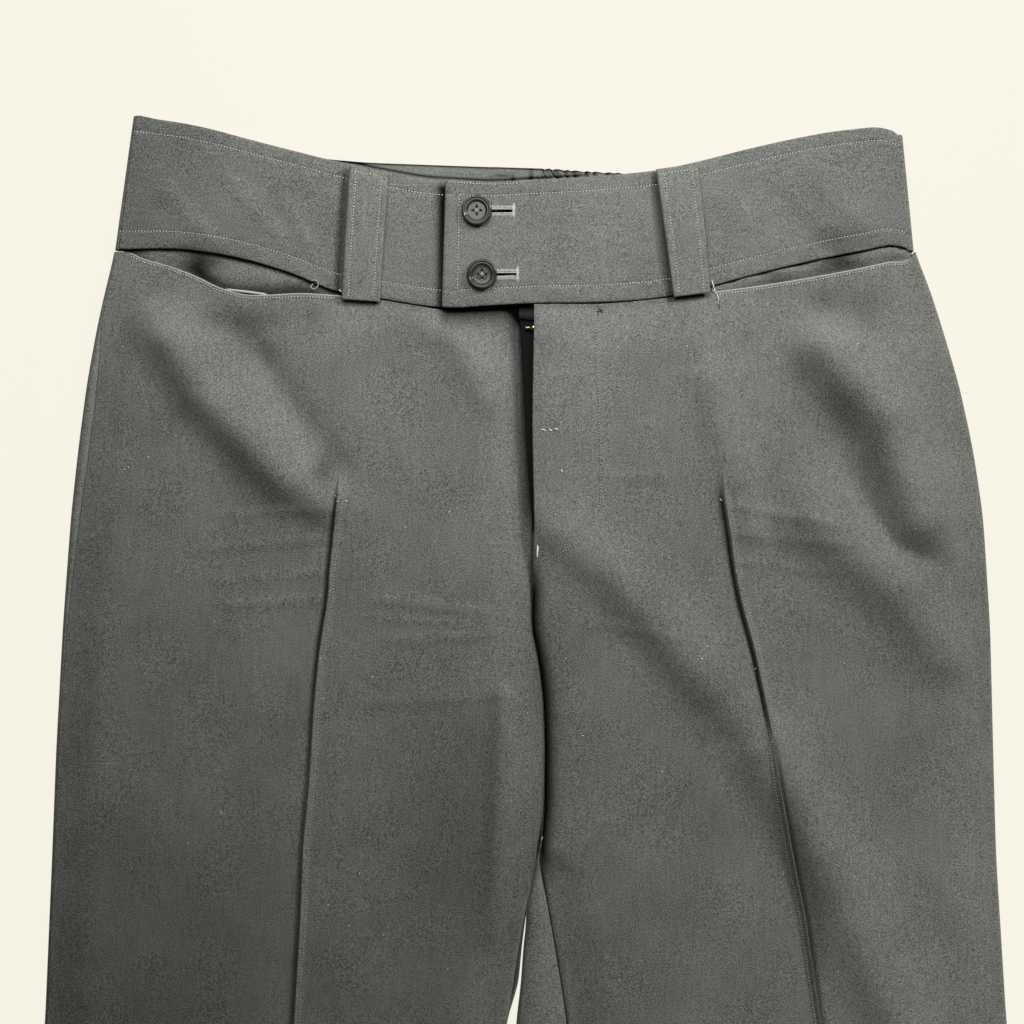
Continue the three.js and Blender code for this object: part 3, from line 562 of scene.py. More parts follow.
def make_front_left():
    inner = [beside(left_seam, offset, left_height) for offset in SEAM_OFFSETS]
    side = front_turn(left_side, -1, constant(SIDE_REACH), left_height)[::-1]
    body = front_columns(across_of(inner[-1]), left_crease, across_of(side[0]), left_height)
    return panel("front_left_cloth", inner + body + side, left_top)


def back_inner(edge, inward, reach_below):
    """The inner edge of a back panel and how far its cloth reaches up round it."""
    def reach(down):
        above = -QUARTER * (1 - ease(340, CROTCH, down)) - GAP / 2
        return np.where(down < CROTCH, above, reach_below(down))

    def moved(down):
        shift = TURN - TURN * np.cos(np.minimum(0, reach(down)) / TURN)
        return edge(down) - inward * shift

    return moved, reach


def back_top(across):
    return band_low(across, BAND_BACK) + 3 * GAP


def flat_under(across, down):
    return np.zeros(np.broadcast(across, down).shape)


def make_back_right():
    side = back_turn(right_side, 1, right_side_length, right_height)
    moved, reach = back_inner(right_back_middle, -1, constant(-GAP / 2))
    inner = back_turn(moved, -1, reach, right_height)[::-1]
    body = spread(across_of(side[-1]), across_of(inner[0]), BACK_COLUMNS, flat_under)
    return panel("back_right_cloth", side + body + inner, back_top, under=True)


def make_back_left():
    side = back_turn(left_side, -1, constant(SIDE_REACH), left_level)

    def reach_below(down):
        clear = GAP + 0.05 + CLOTH * (1 - ease(CROTCH, 389, down))
        return length_at(np.maximum(0, left_seam(down) - clear - left_middle(down)))

    moved, reach = back_inner(left_middle, 1, reach_below)
    inner = back_turn(moved, 1, reach, left_level)
    body = spread(across_of(inner[-1]), across_of(side[-1]), BACK_COLUMNS, flat_under)
    return panel("back_left_cloth", inner + body + side[::-1], back_top, under=True)


# Waistband
BAND_DEPTH = 62.0
STITCH_LEVELS = (0.115, 0.865)
STITCH_SINK = 0.22
STITCH_SINK_WIDTH = 0.012

# Small wrinkles of the band near the pockets: low across, level, to low across, level, height, width
BAND_WRINKLES = [
    (-178, 0.55, -150, 0.95, 0.9, 5),
    (-150, 0.35, -120, 0.75, 0.6, 5),
    (-120, 0.45, -96, 0.9, 0.5, 4),
    (104, 0.35, 128, 0.9, 0.7, 5),
    (128, 0.4, 150, 0.95, -0.6, 5),
    (150, 0.4, 176, 0.9, 0.7, 5),
]


def band_place(band, low_across, level):
    top_across = curve(band, "low_across", "top_across", low_across)
    top_down = curve(band, "low_across", "top_down", low_across)
    low_down = band_low(low_across, band)
    return top_across + (low_across - top_across) * level, top_down + (low_down - top_down) * level


def band_soft(low_across, level):
    down = level * BAND_DEPTH
    height = ripple(low_across * 1.3, down * 1.3 + 40, 0.08)
    for x0, level0, x1, level1, tall, width in BAND_WRINKLES:
        off = off_line(low_across, down, x0, level0 * BAND_DEPTH, x1, level1 * BAND_DEPTH)
        height = height + tall * np.exp(-(off[0] ** 2 + off[1] ** 2) / width**2)
    return height * ease(0, 0.16, np.minimum(level, 1 - level))


def band_dip(level):
    """The cloth sinks a little along each stitched row and rounds down at the edges."""
    sink = sum(bell(level - row, STITCH_SINK_WIDTH) for row in STITCH_LEVELS)
    edge = np.exp(-level / STITCH_SINK_WIDTH) + np.exp(-(1 - level) / STITCH_SINK_WIDTH)
    return -STITCH_SINK * sink - 0.5 * edge


def right_band_height(low_across, level):
    return BAND_TOP + band_soft(low_across, level) + band_dip(level)


def left_band_height(low_across, level):
    base = TAB_TOP - (TAB_TOP - BAND_TOP) * ease(TAB_END, TAB_SLOPE_END, low_across)
    return base + band_soft(low_across, level) + band_dip(level)


ROW_LEVELS = [row + np.array([-0.02, -0.01, 0, 0.01, 0.02]) for row in STITCH_LEVELS]
EDGE_LEVELS = [0.008, 0.016, 0.984, 0.992]
LEVELS = np.unique(np.concatenate([np.linspace(0, 1, 34), EDGE_LEVELS, *ROW_LEVELS]))
BAND_LEFT_EDGE = BAND_FRONT["low_across"][0]
BAND_RIGHT_EDGE = BAND_FRONT["low_across"][-1]
BAND_STEP = 1.6
BACK_BAND_STEP = 1.2


def band_grid(band, columns, levels):
    """Columns are (low across, function of level giving shift and height)."""
    across, down, height = [], [], []
    for low, shape in columns:
        at_across, at_down = band_place(band, np.full(len(levels), low), levels)
        shift, rise = shape(levels)
        across.append(at_across + shift)
        down.append(at_down)
        height.append(rise)
    return np.stack(across, 1), np.stack(down, 1), np.stack(height, 1)


def band_column(low, height_at):
    return low, lambda levels: (0 * levels, height_at(low, levels))


def band_turn(edge, inward, length_of):
    """A column of the band at a length round its turned edge."""
    def shape(levels):
        length = length_of(levels)
        shift, height = turned(0 * levels, inward, length, BAND_TURN, lambda x: 0 * x)
        return shift, height + np.where(length > 0, band_dip(levels) * ease(0, 3, length), 0)

    return edge, shape


def wrap_length(level):
    """Length round the band's right edge to its seam, at a level."""
    offset = BAND_SEAM_WRAP[0] + (BAND_SEAM_WRAP[1] - BAND_SEAM_WRAP[0]) * level
    return BAND_TURN * np.arccos(1 - offset / BAND_TURN)


def wrap_past(extra):
    return lambda levels: wrap_length(levels) + GAP + extra


def wrap_share(share):
    return lambda levels: wrap_length(levels) * share


def make_band_front_right():
    start = [band_turn(BAND_LEFT_EDGE, 1, wrap_past(0.8 * k)) for k in range(5)]
    places = [*np.arange(BAND_LEFT_EDGE + 12, RIGHT_BAND_END, BAND_STEP), RIGHT_BAND_END]
    body = [band_column(x, right_band_height) for x in places]
    grid = band_grid(BAND_FRONT, start + body, LEVELS)
    return cloth_piece("waistband_front_right_cloth", *grid, BAND_CLOTH)


BUTTONS = [
    # across, down, slot end across
    (-22.1, 47.5, -4.4),
    (-19.6, 78.6, -2.5),
]
SLOT_HALF = 0.75
SLOT_LEAD = 1.0
# How far each slot's place on the band lies left of its place in the photo
SLOT_SHIFTS = (0.5, 0.1)


def buttonhole_slots():
    """Each slot's first and last low across and its upper and lower level."""
    slots = []
    for (across, down, slot_end), shift in zip(BUTTONS, SLOT_SHIFTS):
        top_down = np.interp(across, BAND_FRONT["top_across"], BAND_FRONT["top_down"])
        low_down = np.interp(across, BAND_FRONT["low_across"], BAND_FRONT["low_down"])
        middle = (down - top_down) / (low_down - top_down)
        half = SLOT_HALF / (low_down - top_down)
        slots.append((across - SLOT_LEAD - shift, slot_end - shift, middle - half, middle + half))
    return slots


def tab_column_height(low, level):
    """The left band's height, rounded at the tab's end and sunk along the row beside it."""
    end = 0.6 * np.exp(-(low - TAB_LEFT) / 0.7) + 0.2 * bell(low - TAB_LEFT - 7.5, 0.7)
    return left_band_height(low, level) - end


def make_band_front_left():
    slots = buttonhole_slots()
    places = [np.arange(TAB_LEFT, BAND_RIGHT_EDGE - 4.5, BAND_STEP), TAB_LEFT + np.array([0.25, 0.6, 1.0])]
    places = np.unique(np.concatenate(places + [slot[:2] for slot in slots]))
    levels = np.unique(np.concatenate([LEVELS] + [slot[2:] for slot in slots]))
    lengths = [BAND_QUARTER * k / TURN_STEPS + GAP / 2 for k in range(TURN_STEPS, -1, -1)]
    end = [band_turn(BAND_RIGHT_EDGE, -1, constant(length)) for length in lengths]
    grid = band_grid(BAND_FRONT, [band_column(x, tab_column_height) for x in places] + end, levels)
    rows, columns = grid[0].shape
    holes = np.zeros((rows - 1, columns - 1), bool)
    for left, right, low, high in slots:
        column_in = (places[:-1] > left - 0.01) & (places[1:] < right + 0.01)
        row_in = (levels[:-1] > low - 1e-6) & (levels[1:] < high + 1e-6)
        holes[np.ix_(np.where(row_in)[0], np.where(column_in)[0])] = True
    return cloth_piece("waistband_front_left_cloth", *grid, BAND_CLOTH, holes)


ALLOWANCE = 7.0
ALLOWANCE_LEVEL = 3.3
GATHER_START = 6.0
GATHER_END = 62.0
GATHER_PITCH = 5.2
GATHER_HEIGHT = 2.4
INSIDE_END = 150.0
BACK_TURN_STEPS = 8


def gathers(low_across, level):
    """Uneven pleats that lean, deepest beside the patch at the centre back."""
    fading = 1 - ease(GATHER_END - 14, GATHER_END, low_across)
    inside = ease(GATHER_START, GATHER_START + 4, low_across) * fading
    along = low_across - 45 * np.minimum(level, 0.2) + 0.7 * np.sin(low_across * 0.55)
    crest = 0.5 + 0.5 * np.sin(2 * np.pi * along / GATHER_PITCH)
    return GATHER_HEIGHT * inside * (crest**0.5 - 0.5)


def make_band_back():
    """The back band's underside, flat, with its ends turned up to the front band's."""
    steps = BACK_TURN_STEPS
    left = [band_turn(BAND_LEFT_EDGE, 1, wrap_share(k / steps)) for k in range(steps, 0, -1)]
    left += [band_turn(BAND_LEFT_EDGE, 1, constant(-BAND_QUARTER * k / steps)) for k in range(steps + 1)]
    lengths = [BAND_QUARTER * k / TURN_STEPS - GAP / 2 for k in range(-TURN_STEPS, 1)]
    right = [band_turn(BAND_RIGHT_EDGE, -1, constant(length)) for length in lengths]
    places = np.arange(BAND_LEFT_EDGE + 6, BAND_RIGHT_EDGE - 5, BACK_BAND_STEP)
    body = [band_column(x, lambda low, levels: 0 * levels) for x in places]
    grid = band_grid(BAND_BACK, left + body + right, LEVELS)
    return cloth_piece("waistband_back_cloth", *grid, BAND_CLOTH, under=True)


def inside_height(low, level):
    edge = 0.35 * np.exp(-level / 0.02)
    patch = 0.35 * ease(-16, -14.5, low) * (1 - ease(7, 8.5, low))
    middle = ease(-INSIDE_END, -60, low) * (1 - ease(60, INSIDE_END, low))
    puff = 0.5 * middle * np.sin(np.pi * np.clip(level * 6, 0, 1))
    height = BAND_CLOTH + 0.7 + gathers(low, level) + patch - edge + puff
    return height + ripple(low * 2, level * 60, 0.12)


def make_band_inside():
    """The gathered inner layer of the back band, on its upper face."""
    levels = 0.95 * np.linspace(0, 1, 80) ** 1.6
    body = [band_column(x, inside_height) for x in np.arange(-INSIDE_END, INSIDE_END, 1.0)]
    return cloth_piece("waistband_back_inside", *band_grid(BAND_BACK, body, levels), 0.4)


def make_waist_allowance():
    """The turned-up edges of the back's waist seam, seen through the slits above the fly and pockets."""
    across, rise = np.meshgrid(np.linspace(-194.5, 191.0, 100), np.linspace(-ALLOWANCE, ALLOWANCE, 7))
    down = band_low(across, BAND_BACK) + rise
    height = ALLOWANCE_LEVEL + ripple(across * 2, down * 2, 0.06)
    return cloth_piece("waist_seam_allowance", across, down, height, 0.5)


# Belt loops: corners at the top left, top right, low left and low right
LOOPS = {
    "right": ((-84, 24.7), (-65.2, 28.7), (-88.1, 90.6), (-69.5, 91.9)),
    "left": ((65.5, 26.9), (86.1, 24.2), (74.2, 89.5), (92.1, 87.4)),
}
LOOP_LEVELS = [0, 0.05, 0.15, 0.3, 0.5, 0.7, 0.85, 0.95, 1]
LOOP_RISES = [0.3, 0.9, 1.6, 2.1, 2.3, 2.1, 1.6, 1.1, 0.7]
LOOP_CLOTH = 1.2
LOOP_STITCH = 0.17
LOOP_TOP_STITCH = 0.045


def loop_spot(side, share, level):
    top_left, top_right, low_left, low_right = [np.array(p) for p in LOOPS[side]]
    share, level = np.asarray(share)[..., None], np.asarray(level)[..., None]
    top = top_left + share * (top_right - top_left)
    low = low_left + share * (low_right - low_left)
    spot = top + level * (low - top)
    return spot[..., 0], spot[..., 1]


def loop_height(share, level):
    rise = np.interp(level, LOOP_LEVELS, LOOP_RISES)
    crown = 0.3 * (1 - (2 * share - 1) ** 2)
    rows = sum(bell(share - row, 0.03) for row in (LOOP_STITCH, 1 - LOOP_STITCH))
    edge = np.exp(-share / 0.02) + np.exp(-(1 - share) / 0.02)
    wave = 0.12 * np.sin(level * 11 + share * 2) * ease(0, 0.1, np.minimum(level, 1 - level))
    return BAND_TOP + rise + GAP + LOOP_CLOTH + crown - 0.15 * rows - 0.35 * edge + wave


def make_loop(side):
    share, level = np.meshgrid(np.linspace(0, 1, 41), np.linspace(0, 1, 80))
    across, down = loop_spot(side, share, level)
    return cloth_piece(f"belt_loop_{side}_cloth", across, down, loop_height(share, level), LOOP_CLOTH)


# Pocket facings: each end's across and top down, the bulge's height and its crest's place in the mouth
FACINGS = {
    "right": ((-195.5, 56), (-88, 74), 1.3, 0.5),
    "left": ((92, 72), (191.9, 60), 2.2, 0.4),
}
FACING_LEVEL = BAND_CLOTH + GAP + 0.85
FACING_DEPTH = 50.0


def make_facing(side):
    (x0, y0), (x1, y1), tall, crest = FACINGS[side]
    share, depth = np.meshgrid(np.linspace(0, 1, 50), np.linspace(0, 1, 25))
    across = x0 + share * (x1 - x0)
    down = y0 + share * (y1 - y0) + depth * FACING_DEPTH
    lip = right_top(across) if side == "right" else left_top(across)
    low = band_low(across)
    opening = np.maximum(lip - low, 0.5)
    mouth = np.clip((down - low) / opening, -0.5, 1.5)
    bulge = tall * bell(mouth - crest, 0.42) * ease(0.5, 6, opening) * ease(0, 0.2, mouth)
    waves = ripple(across * 3, down * 3, 0.3) * ease(0, 0.3, mouth)
    return cloth_piece(f"pocket_facing_{side}_cloth", across, down, FACING_LEVEL + bulge + waves, 0.8)


# Threads: each run is a line of (across, down, height), and many runs make one mesh
THREAD_RADIUS = 0.23
THREAD_SIDES = 5
THREAD_END = 0.6
STITCH_PITCH = 1.5
STITCH_LENGTH = 0.72

# The dimples between stitches, gathered as the stitched rows are made; each is drawn as a short dark tube,
# painted shade in the dimple
NEEDLE_HOLE_SHADES = []


def unit(vectors):
    return vectors / np.maximum(np.linalg.norm(vectors, axis=1, keepdims=True), 1e-12)


def thread_mesh(name, runs, radius):
    angles = 2 * np.pi * np.arange(THREAD_SIDES) / THREAD_SIDES
    radius = radius * MM
    points, faces, start = [], [], 0
    for run in runs:
        line = place(*run.T)
        along = unit(np.gradient(line, axis=0))
        aside = unit(np.cross(along, (0.013, 0.017, 1.0)))
        above = np.cross(aside, along)
        size = np.full(len(line), radius)
        size[[0, -1]] *= THREAD_END
        round_line = np.cos(angles)[:, None] * aside[:, None] + np.sin(angles)[:, None] * above[:, None]
        rings = line[:, None] + size[:, None, None] * round_line
        tips = np.array([line[0] - along[0] * radius * 0.5, line[-1] + along[-1] * radius * 0.5])
        points.append(np.concatenate([rings.reshape(-1, 3), tips]))
        faces += ring_faces(start, len(line), THREAD_SIDES)
        last = start + (len(line) - 1) * THREAD_SIDES
        tip = last + THREAD_SIDES
        for k in range(THREAD_SIDES):
            after = (k + 1) % THREAD_SIDES
            faces.append((start + after, start + k, tip))
            faces.append((last + k, last + after, tip + 1))
        start += len(points[-1])
    return mesh_object(name, np.concatenate(points), faces)


def stitched(line, rise=0.12):
    """Single stitches along a line of (across, down, height)."""
    steps = np.linalg.norm(np.diff(line, axis=0), axis=1)
    run = np.concatenate([[0], np.cumsum(steps)])

    def at(places):
        return np.stack([np.interp(places, run, column) for column in line.T], axis=1)

    stitches = []
    for start in np.arange(0.4, run[-1] - STITCH_LENGTH, STITCH_PITCH):
        length = STITCH_LENGTH * (1 + 0.08 * np.sin(start * 3.1))
        stitch = at(start + length * np.array([0, 0.25, 0.75, 1]))
        stitch[:, 2] += rise * np.array([-0.3, 1, 1, -0.3])
        stitches.append(stitch)
        NEEDLE_HOLE_SHADES.append(at(start + STITCH_LENGTH + (STITCH_PITCH - STITCH_LENGTH) * np.array([0.2, 0.8])))
    return stitches


def line_on(across, down, height_at):
    across, down = np.broadcast_arrays(np.asarray(across, float), np.asarray(down, float))
    return np.stack([across, down, height_at(across, down)], axis=1)


def raised(line, rises):
    return line + np.array([0, 0, 1.0]) * np.asarray(rises, float)[..., None]


def through(points, step=1.0):
    """A line of places at even steps through a few given ones."""
    points = np.array(points, float)
    run = np.concatenate([[0], np.cumsum(np.hypot(*np.diff(points, axis=0).T))])
    at = np.arange(0, run[-1], step)
    key = {"run": run, "across": points[:, 0], "down": points[:, 1]}
    return curve(key, "run", "across", at), curve(key, "run", "down", at)


def band_line(low, level, height_at):
    low, level = np.broadcast_arrays(np.asarray(low, float), np.asarray(level, float))
    return np.stack([*band_place(BAND_FRONT, low, level), height_at(low, level)], axis=1)


def loop_line(side, share, level):
    share, level = np.broadcast_arrays(np.asarray(share, float), np.asarray(level, float))
    return np.stack([*loop_spot(side, share, level), loop_height(share, level)], axis=1)


FLY_STITCH = [
    # across, down
    (38.9, 92.5), (36.9, 101), (36.6, 121), (37.5, 143), (38.2, 171), (38.2, 187), (36.9, 196),
    (32.3, 204.8), (25.5, 210.7), (18.4, 214.8), (7.4, 218.8),
]
CURLED_THREAD = [
    # across, down
    (-103, 81.2), (-101.6, 80.9), (-100, 82), (-100.2, 84), (-102, 85.3), (-103.6, 84.2), (-102.2, 82.6),
]
HANGING_THREAD = [
    # across, down
    (93.1, 85.5), (95.2, 87.2), (96.3, 90), (96, 93.2),
]
LIP_INSET = 1.6
# How far a band column near the buttons leans, from the middle of the band to its lower edge
BAND_LEAN = 0.3
TAB_ROW = -31.9
TAB_TOP_LEVEL = 0.022
LOOSE_RISE = 0.35


def band_runs():
    """The rows that show clearly: bands, tab, pocket mouths and loops."""
    rows = []
    for level in STITCH_LEVELS:
        rows.append(band_line(np.arange(-199.0, TAB_LEFT, 1.0), level, right_band_height))
        rows.append(band_line(np.arange(TAB_ROW, 191.0, 1.0), level, left_band_height))
    rows.append(band_line(TAB_ROW, np.linspace(*STITCH_LEVELS, 60), left_band_height))
    rows.append(band_line(np.arange(TAB_LEFT + 1, -2.0, 1.0), TAB_TOP_LEVEL, left_band_height))
    lip = np.arange(-192.5, -92.0, 1.0)
    rows.append(line_on(lip, right_top(lip) + LIP_INSET, right_height))
    lip = np.arange(96.5, 190.5, 1.0)
    rows.append(line_on(lip, left_top(lip) + LIP_INSET, left_height))
    for side in LOOPS:
        for share in (LOOP_STITCH, 1 - LOOP_STITCH):
            rows.append(loop_line(side, share, np.linspace(LOOP_TOP_STITCH, 0.985, 70)))
        rows.append(loop_line(side, np.linspace(0.03, 0.97, 20), LOOP_TOP_STITCH))
    hanging = line_on(*through(HANGING_THREAD, 0.5), left_height)
    return [stitch for row in rows for stitch in stitched(row)] + [raised(hanging, LOOSE_RISE)]


def leg_runs():
    """The fly's curved row and the rows beside the tuck creases, sunk in the cloth."""
    curled = line_on(*through(CURLED_THREAD, 0.4), lambda across, down: 0 * across + BAND_TOP)
    down = np.arange(187.0, HEM - 30, 1.0)
    side = TUCK_WIDTH * (1 - 2 * ease(LEFT_TUCK_FLIP - 6, LEFT_TUCK_FLIP + 6, down))
    runs = stitched(line_on(*through(FLY_STITCH), left_height))
    runs += stitched(line_on(right_crease(down) + TUCK_WIDTH, down, right_height), rise=0.05)
    runs += stitched(line_on(left_crease(down) + side, down, left_height), rise=0.05)
    return runs + [raised(curled, LOOSE_RISE)]


def tab_height(across, down):
    """Height of the band's outer face at a place beside the buttons."""
    low = across + BAND_LEAN
    top_down = curve(BAND_FRONT, "low_across", "top_down", low)
    return left_band_height(low, (down - top_down) / (band_low(low) - top_down))


def buttonhole_runs():
    """Close stitches on both sides of each slit, and the bar tack at its end."""
    runs = []
    for across, down, slot_end in BUTTONS:
        for side in (-1, 1):
            for x in np.arange(across + 5.5, slot_end - 0.2, 0.62):
                outward = side * np.array([1.0, 1.8, 2.75 + 0.15 * np.sin(7 * x)])
                stitch = line_on(x + np.array([0, 0.1, 0.25]), down + outward, tab_height)
                runs.append(raised(stitch, (0.1, 0.3, -0.05)))
            row = np.linspace(across + 5.5, slot_end, 14)
            edge = line_on(row, down + side * (0.95 + 0.1 * np.sin(4 * row)), tab_height)
            runs.append(raised(edge, 0.25))
        for shift in (0, 0.42, 0.84):
            bar = line_on(slot_end + shift, down + np.linspace(-3.9, 3.9, 5), tab_height)
            runs.append(raised(bar, (0, 0.25, 0.35, 0.25, 0)))
    return runs


PALE_THREADS = [
    # across, down, to across, down
    (7.5, 210.8, 7.2, 216.9),
    (7.9, 211.4, 7.4, 217.2),
    (-89.8, 85.4, -88.6, 86.6),
    (93.1, 81, 94.2, 85),
    (94.2, 85, 94.6, 86.4),
    (9.3, 154.2, 11.6, 154.8),
    (13.2, 154, 14.6, 155.2),
    (15.6, 153.8, 17.6, 154.3),
    (19, 174, 19.7, 175),
    (-90, 189, -89.2, 189.6),
    (-86, 188.8, -85.3, 189.6),
    (96.6, 188, 97.6, 189.2),
    (86.8, 265.3, 87.6, 266),
]
DARK_THREADS = [
    # across, down, to across, down
    (37.2, 93.6, 39.6, 97.2),
    (39.2, 93.8, 36.8, 98.4),
    (36.2, 96.4, 40, 95.6),
    (96, 88.6, 96.9, 95.2),
]
# Threads above this lie on the band and the loops
LOOPS_END = 88.0


def front_height(across, down):
    """Height of the front that shows, or of the band above its lower edge."""
    height = np.where(across >= left_seam(down), left_height(across, down), right_height(across, down))
    return np.where(down < LOOPS_END, np.maximum(height, BAND_TOP), height)


def loose_runs(threads, height_at, end_rise):
    runs = []
    for x0, y0, x1, y1 in threads:
        line = line_on(np.linspace(x0, x1, 5), np.linspace(y0, y1, 5), height_at)
        runs.append(raised(line, (end_rise, 0.3, 0.4, 0.3, end_rise)))
    return runs


def lip_runs():
    """The rolled edges of the two pocket mouths, drawn paler than the cloth as a painted highlight."""
    right = np.arange(-193.5, -88.0, 1.5)
    left = np.arange(94.0, 191.5, 1.5)
    return [
        raised(line_on(right, right_top(right) + 0.2, right_height), -0.2),
        raised(line_on(left, left_top(left) + 0.2, left_height), -0.2),
    ]


def bag_edge_runs():
    """The edge of the pocket bag that peeps over the viewer's left lip."""
    across = np.linspace(-145.5, -125.5, 16)
    rise = 1.3 * np.sin(np.pi * (across + 145.5) / 20) + 0.2
    return [raised(line_on(across, right_top(across) - rise, right_height), -0.9)]


LINT_COUNT = 70
LINT_RANDOM = np.random.default_rng(21)


def lint_runs():
    runs = []
    for _ in range(LINT_COUNT):
        across = LINT_RANDOM.uniform(-200, 190)
        down = LINT_RANDOM.uniform(110, 440)
        turn = LINT_RANDOM.uniform(0, np.pi)
        along = LINT_RANDOM.uniform(0.15, 0.7) * np.array([-1, 0, 1])
        speck = line_on(across + along * np.cos(turn), down + along * np.sin(turn), front_height)
        runs.append(raised(speck, (0.06, 0.14, 0.06)))
    return runs


# Buttons: a turned disc with a raised rim, a dish and four holes
BUTTON_LEVEL = TAB_TOP + GAP
BUTTON_DISH = 1.4
BUTTON_PROFILE = [
    # radius, height
    (0, 0), (5.4, 0), (6.3, 0.2), (7.0, 0.6), (7.35, 1.1), (7.4, 1.5), (7.32, 1.9), (7.1, 2.25), (6.8, 2.48),
    (6.5, 2.55), (6.2, 2.48), (5.95, 2.3), (5.8, 2.15), (5.6, 2.18), (5.35, 2.25), (5.15, 2.18), (4.95, 1.95),
    (4.75, 1.62), (4.5, 1.45), (4.1, BUTTON_DISH), (3, BUTTON_DISH), (2, BUTTON_DISH), (1, BUTTON_DISH),
    (0, BUTTON_DISH),
]
HOLE_PITCH = 1.5
HOLE_RADIUS = 0.62
HOLE_SPOTS = [(HOLE_PITCH, 0), (0, HOLE_PITCH), (-HOLE_PITCH, 0), (0, -HOLE_PITCH)]
ROUND_STEPS = 72
CUTTER_STEPS = 20


def lathe(name, profile, steps):
    """A closed form turned about an upright axis, from a profile that starts and ends on it."""
    rows = profile[1:-1]
    angles = 2 * np.pi * np.arange(steps) / steps
    points = [(r * np.cos(a), r * np.sin(a), z) for r, z in rows for a in angles]
    faces = ring_faces(0, len(rows), steps)
    low, last = len(points), len(points) - steps
    for k in range(steps):
        after = (k + 1) % steps
        faces.append((after, k, low))
        faces.append((last + k, last + after, low + 1))
    points += [(0, 0, profile[0][1]), (0, 0, profile[-1][1])]
    return mesh_object(name, np.array(points) * MM, faces)


def cut(piece, cutters):
    """Takes the cutters' forms out of a piece, then removes them."""
    for cutter in cutters:
        hole = piece.modifiers.new("hole", "BOOLEAN")
        hole.operation = "DIFFERENCE"
        hole.solver = "EXACT"
        hole.object = cutter
    bpy.context.view_layer.update()
    finished = bpy.data.meshes.new_from_object(piece.evaluated_get(bpy.context.evaluated_depsgraph_get()))
    piece.modifiers.clear()
    piece.data = finished
    for cutter in cutters:
        bpy.data.objects.remove(cutter)


def move_to(piece, across, down, height):
    piece.data.transform(Matrix.Translation(place(across, down, height).tolist()))


def make_button(name, across, down):
    button = lathe(name, BUTTON_PROFILE, ROUND_STEPS)
    cutters = []
    for x, y in HOLE_SPOTS:
        cutter = lathe("cutter", [(0, -1), (HOLE_RADIUS, -1), (HOLE_RADIUS, 4), (0, 4)], CUTTER_STEPS)
        cutter.data.transform(Matrix.Translation((x * MM, y * MM, 0)))
        cutters.append(cutter)
    cut(button, cutters)
    move_to(button, across, down, BUTTON_LEVEL)
    return button


def button_thread_runs():
    """Crossed threads through the holes, and down the shank to the band beneath."""
    runs = []
    share = np.linspace(0, 1, 7)
    rise = BUTTON_DISH + 0.4 * np.sin(np.pi * share)
    rise[[0, -1]] = 0.4
    shank = np.linspace(BAND_TOP + 0.1, BUTTON_LEVEL + 0.3, 3)
    for across, down, _ in BUTTONS:
        for aside in (-0.16, 0.16):
            over = HOLE_PITCH * (1 - 2 * share)
            still = np.full(len(share), aside)
            runs.append(np.stack([across + over, down + still, BUTTON_LEVEL + rise], axis=1))
            runs.append(np.stack([across + still, down - over, BUTTON_LEVEL + rise], axis=1))
        for turn in range(6):
            x, y = 0.45 * np.cos(turn * 1.05), 0.45 * np.sin(turn * 1.05)
            runs.append(np.stack([np.full(3, across + x), np.full(3, down + y), shank], axis=1))
    return runs


# Zip: a turned pull whose round collar shows beside the fly, and the chain's teeth
PULL_PROFILE = [
    # reach from the bar, half width, half thickness
    (0.9, 0.5, 0.5), (1.4, 0.9, 0.5), (4.6, 1.0, 0.5), (5.3, 0.85, 0.6), (5.6, 1.05, 0.95),
    (6.1, 1.24, 1.2), (6.6, 1.28, 1.25), (7.1, 1.22, 1.18), (7.6, 0.98, 0.9), (7.9, 0.7, 0.6),
    (8.4, 0.72, 0.52), (9.6, 0.85, 0.55), (10.6, 0.85, 0.52), (11.0, 0.6, 0.4), (11.2, 0.25, 0.2),
]
PULL_TILT = -15.0
PULL_SIDES = 28
BAR_LEVEL = 6.0
EYE_RINGS = [
    # radius, place along the bar
    (0.72, 1.0), (0.8, 1.16), (1.15, 1.16), (1.28, 1.0),
    (1.28, -1.0), (1.15, -1.16), (0.8, -1.16), (0.72, -1.0),
]


def make_pull():
    sides = PULL_SIDES
    angles = 2 * np.pi * np.arange(sides) / sides
    points = [(-x, w * np.cos(a), h * np.sin(a)) for x, w, h in PULL_PROFILE for a in angles]
    eye = len(points)
    points += [(r * np.cos(a), y, r * np.sin(a)) for r, y in EYE_RINGS for a in angles]
    faces = ring_faces(0, len(PULL_PROFILE), sides) + ring_faces(eye, len(EYE_RINGS), sides, closed=True)
    faces += [tuple(range(sides))[::-1], tuple(range(eye - sides, eye))]
    pull = mesh_object("zip_pull_turned", np.array(points) * MM, faces)
    pull.data.transform(Matrix.Rotation(np.radians(PULL_TILT), 4, "Y"))
    move_to(pull, SLIDER_ACROSS, SLIDER_DOWN, BAR_LEVEL)
    return pull


TOOTH_LEVEL = 2.95
TOOTH_PITCH = 2.0
TOOTH_SIZE = (2.4, 0.8, 1.1)
TOOTH_BEVEL = 0.18


def make_zip_teeth():
    """Two rows of small teeth that meet along the middle of the tape."""
    form = bmesh.new()
    size = Matrix.Diagonal((*[length * MM for length in TOOTH_SIZE], 1))
    for k, down in enumerate(np.arange(112.0, 202.0, TOOTH_PITCH / 2)):
        middle = place(SLIDER_ACROSS + (1.0 if k % 2 else -1.0), down, TOOTH_LEVEL)
        made = bmesh.ops.create_cube(form, size=1.0, matrix=Matrix.Translation(middle.tolist()) @ size)
        edges = list({edge for vert in made["verts"] for edge in vert.link_edges})
        bmesh.ops.bevel(form, geom=edges, offset=TOOTH_BEVEL * MM, segments=1, affect="EDGES")
    mesh = bpy.data.meshes.new("zip_teeth")
    form.to_mesh(mesh)
    form.free()
    return add_object("zip_teeth", mesh)


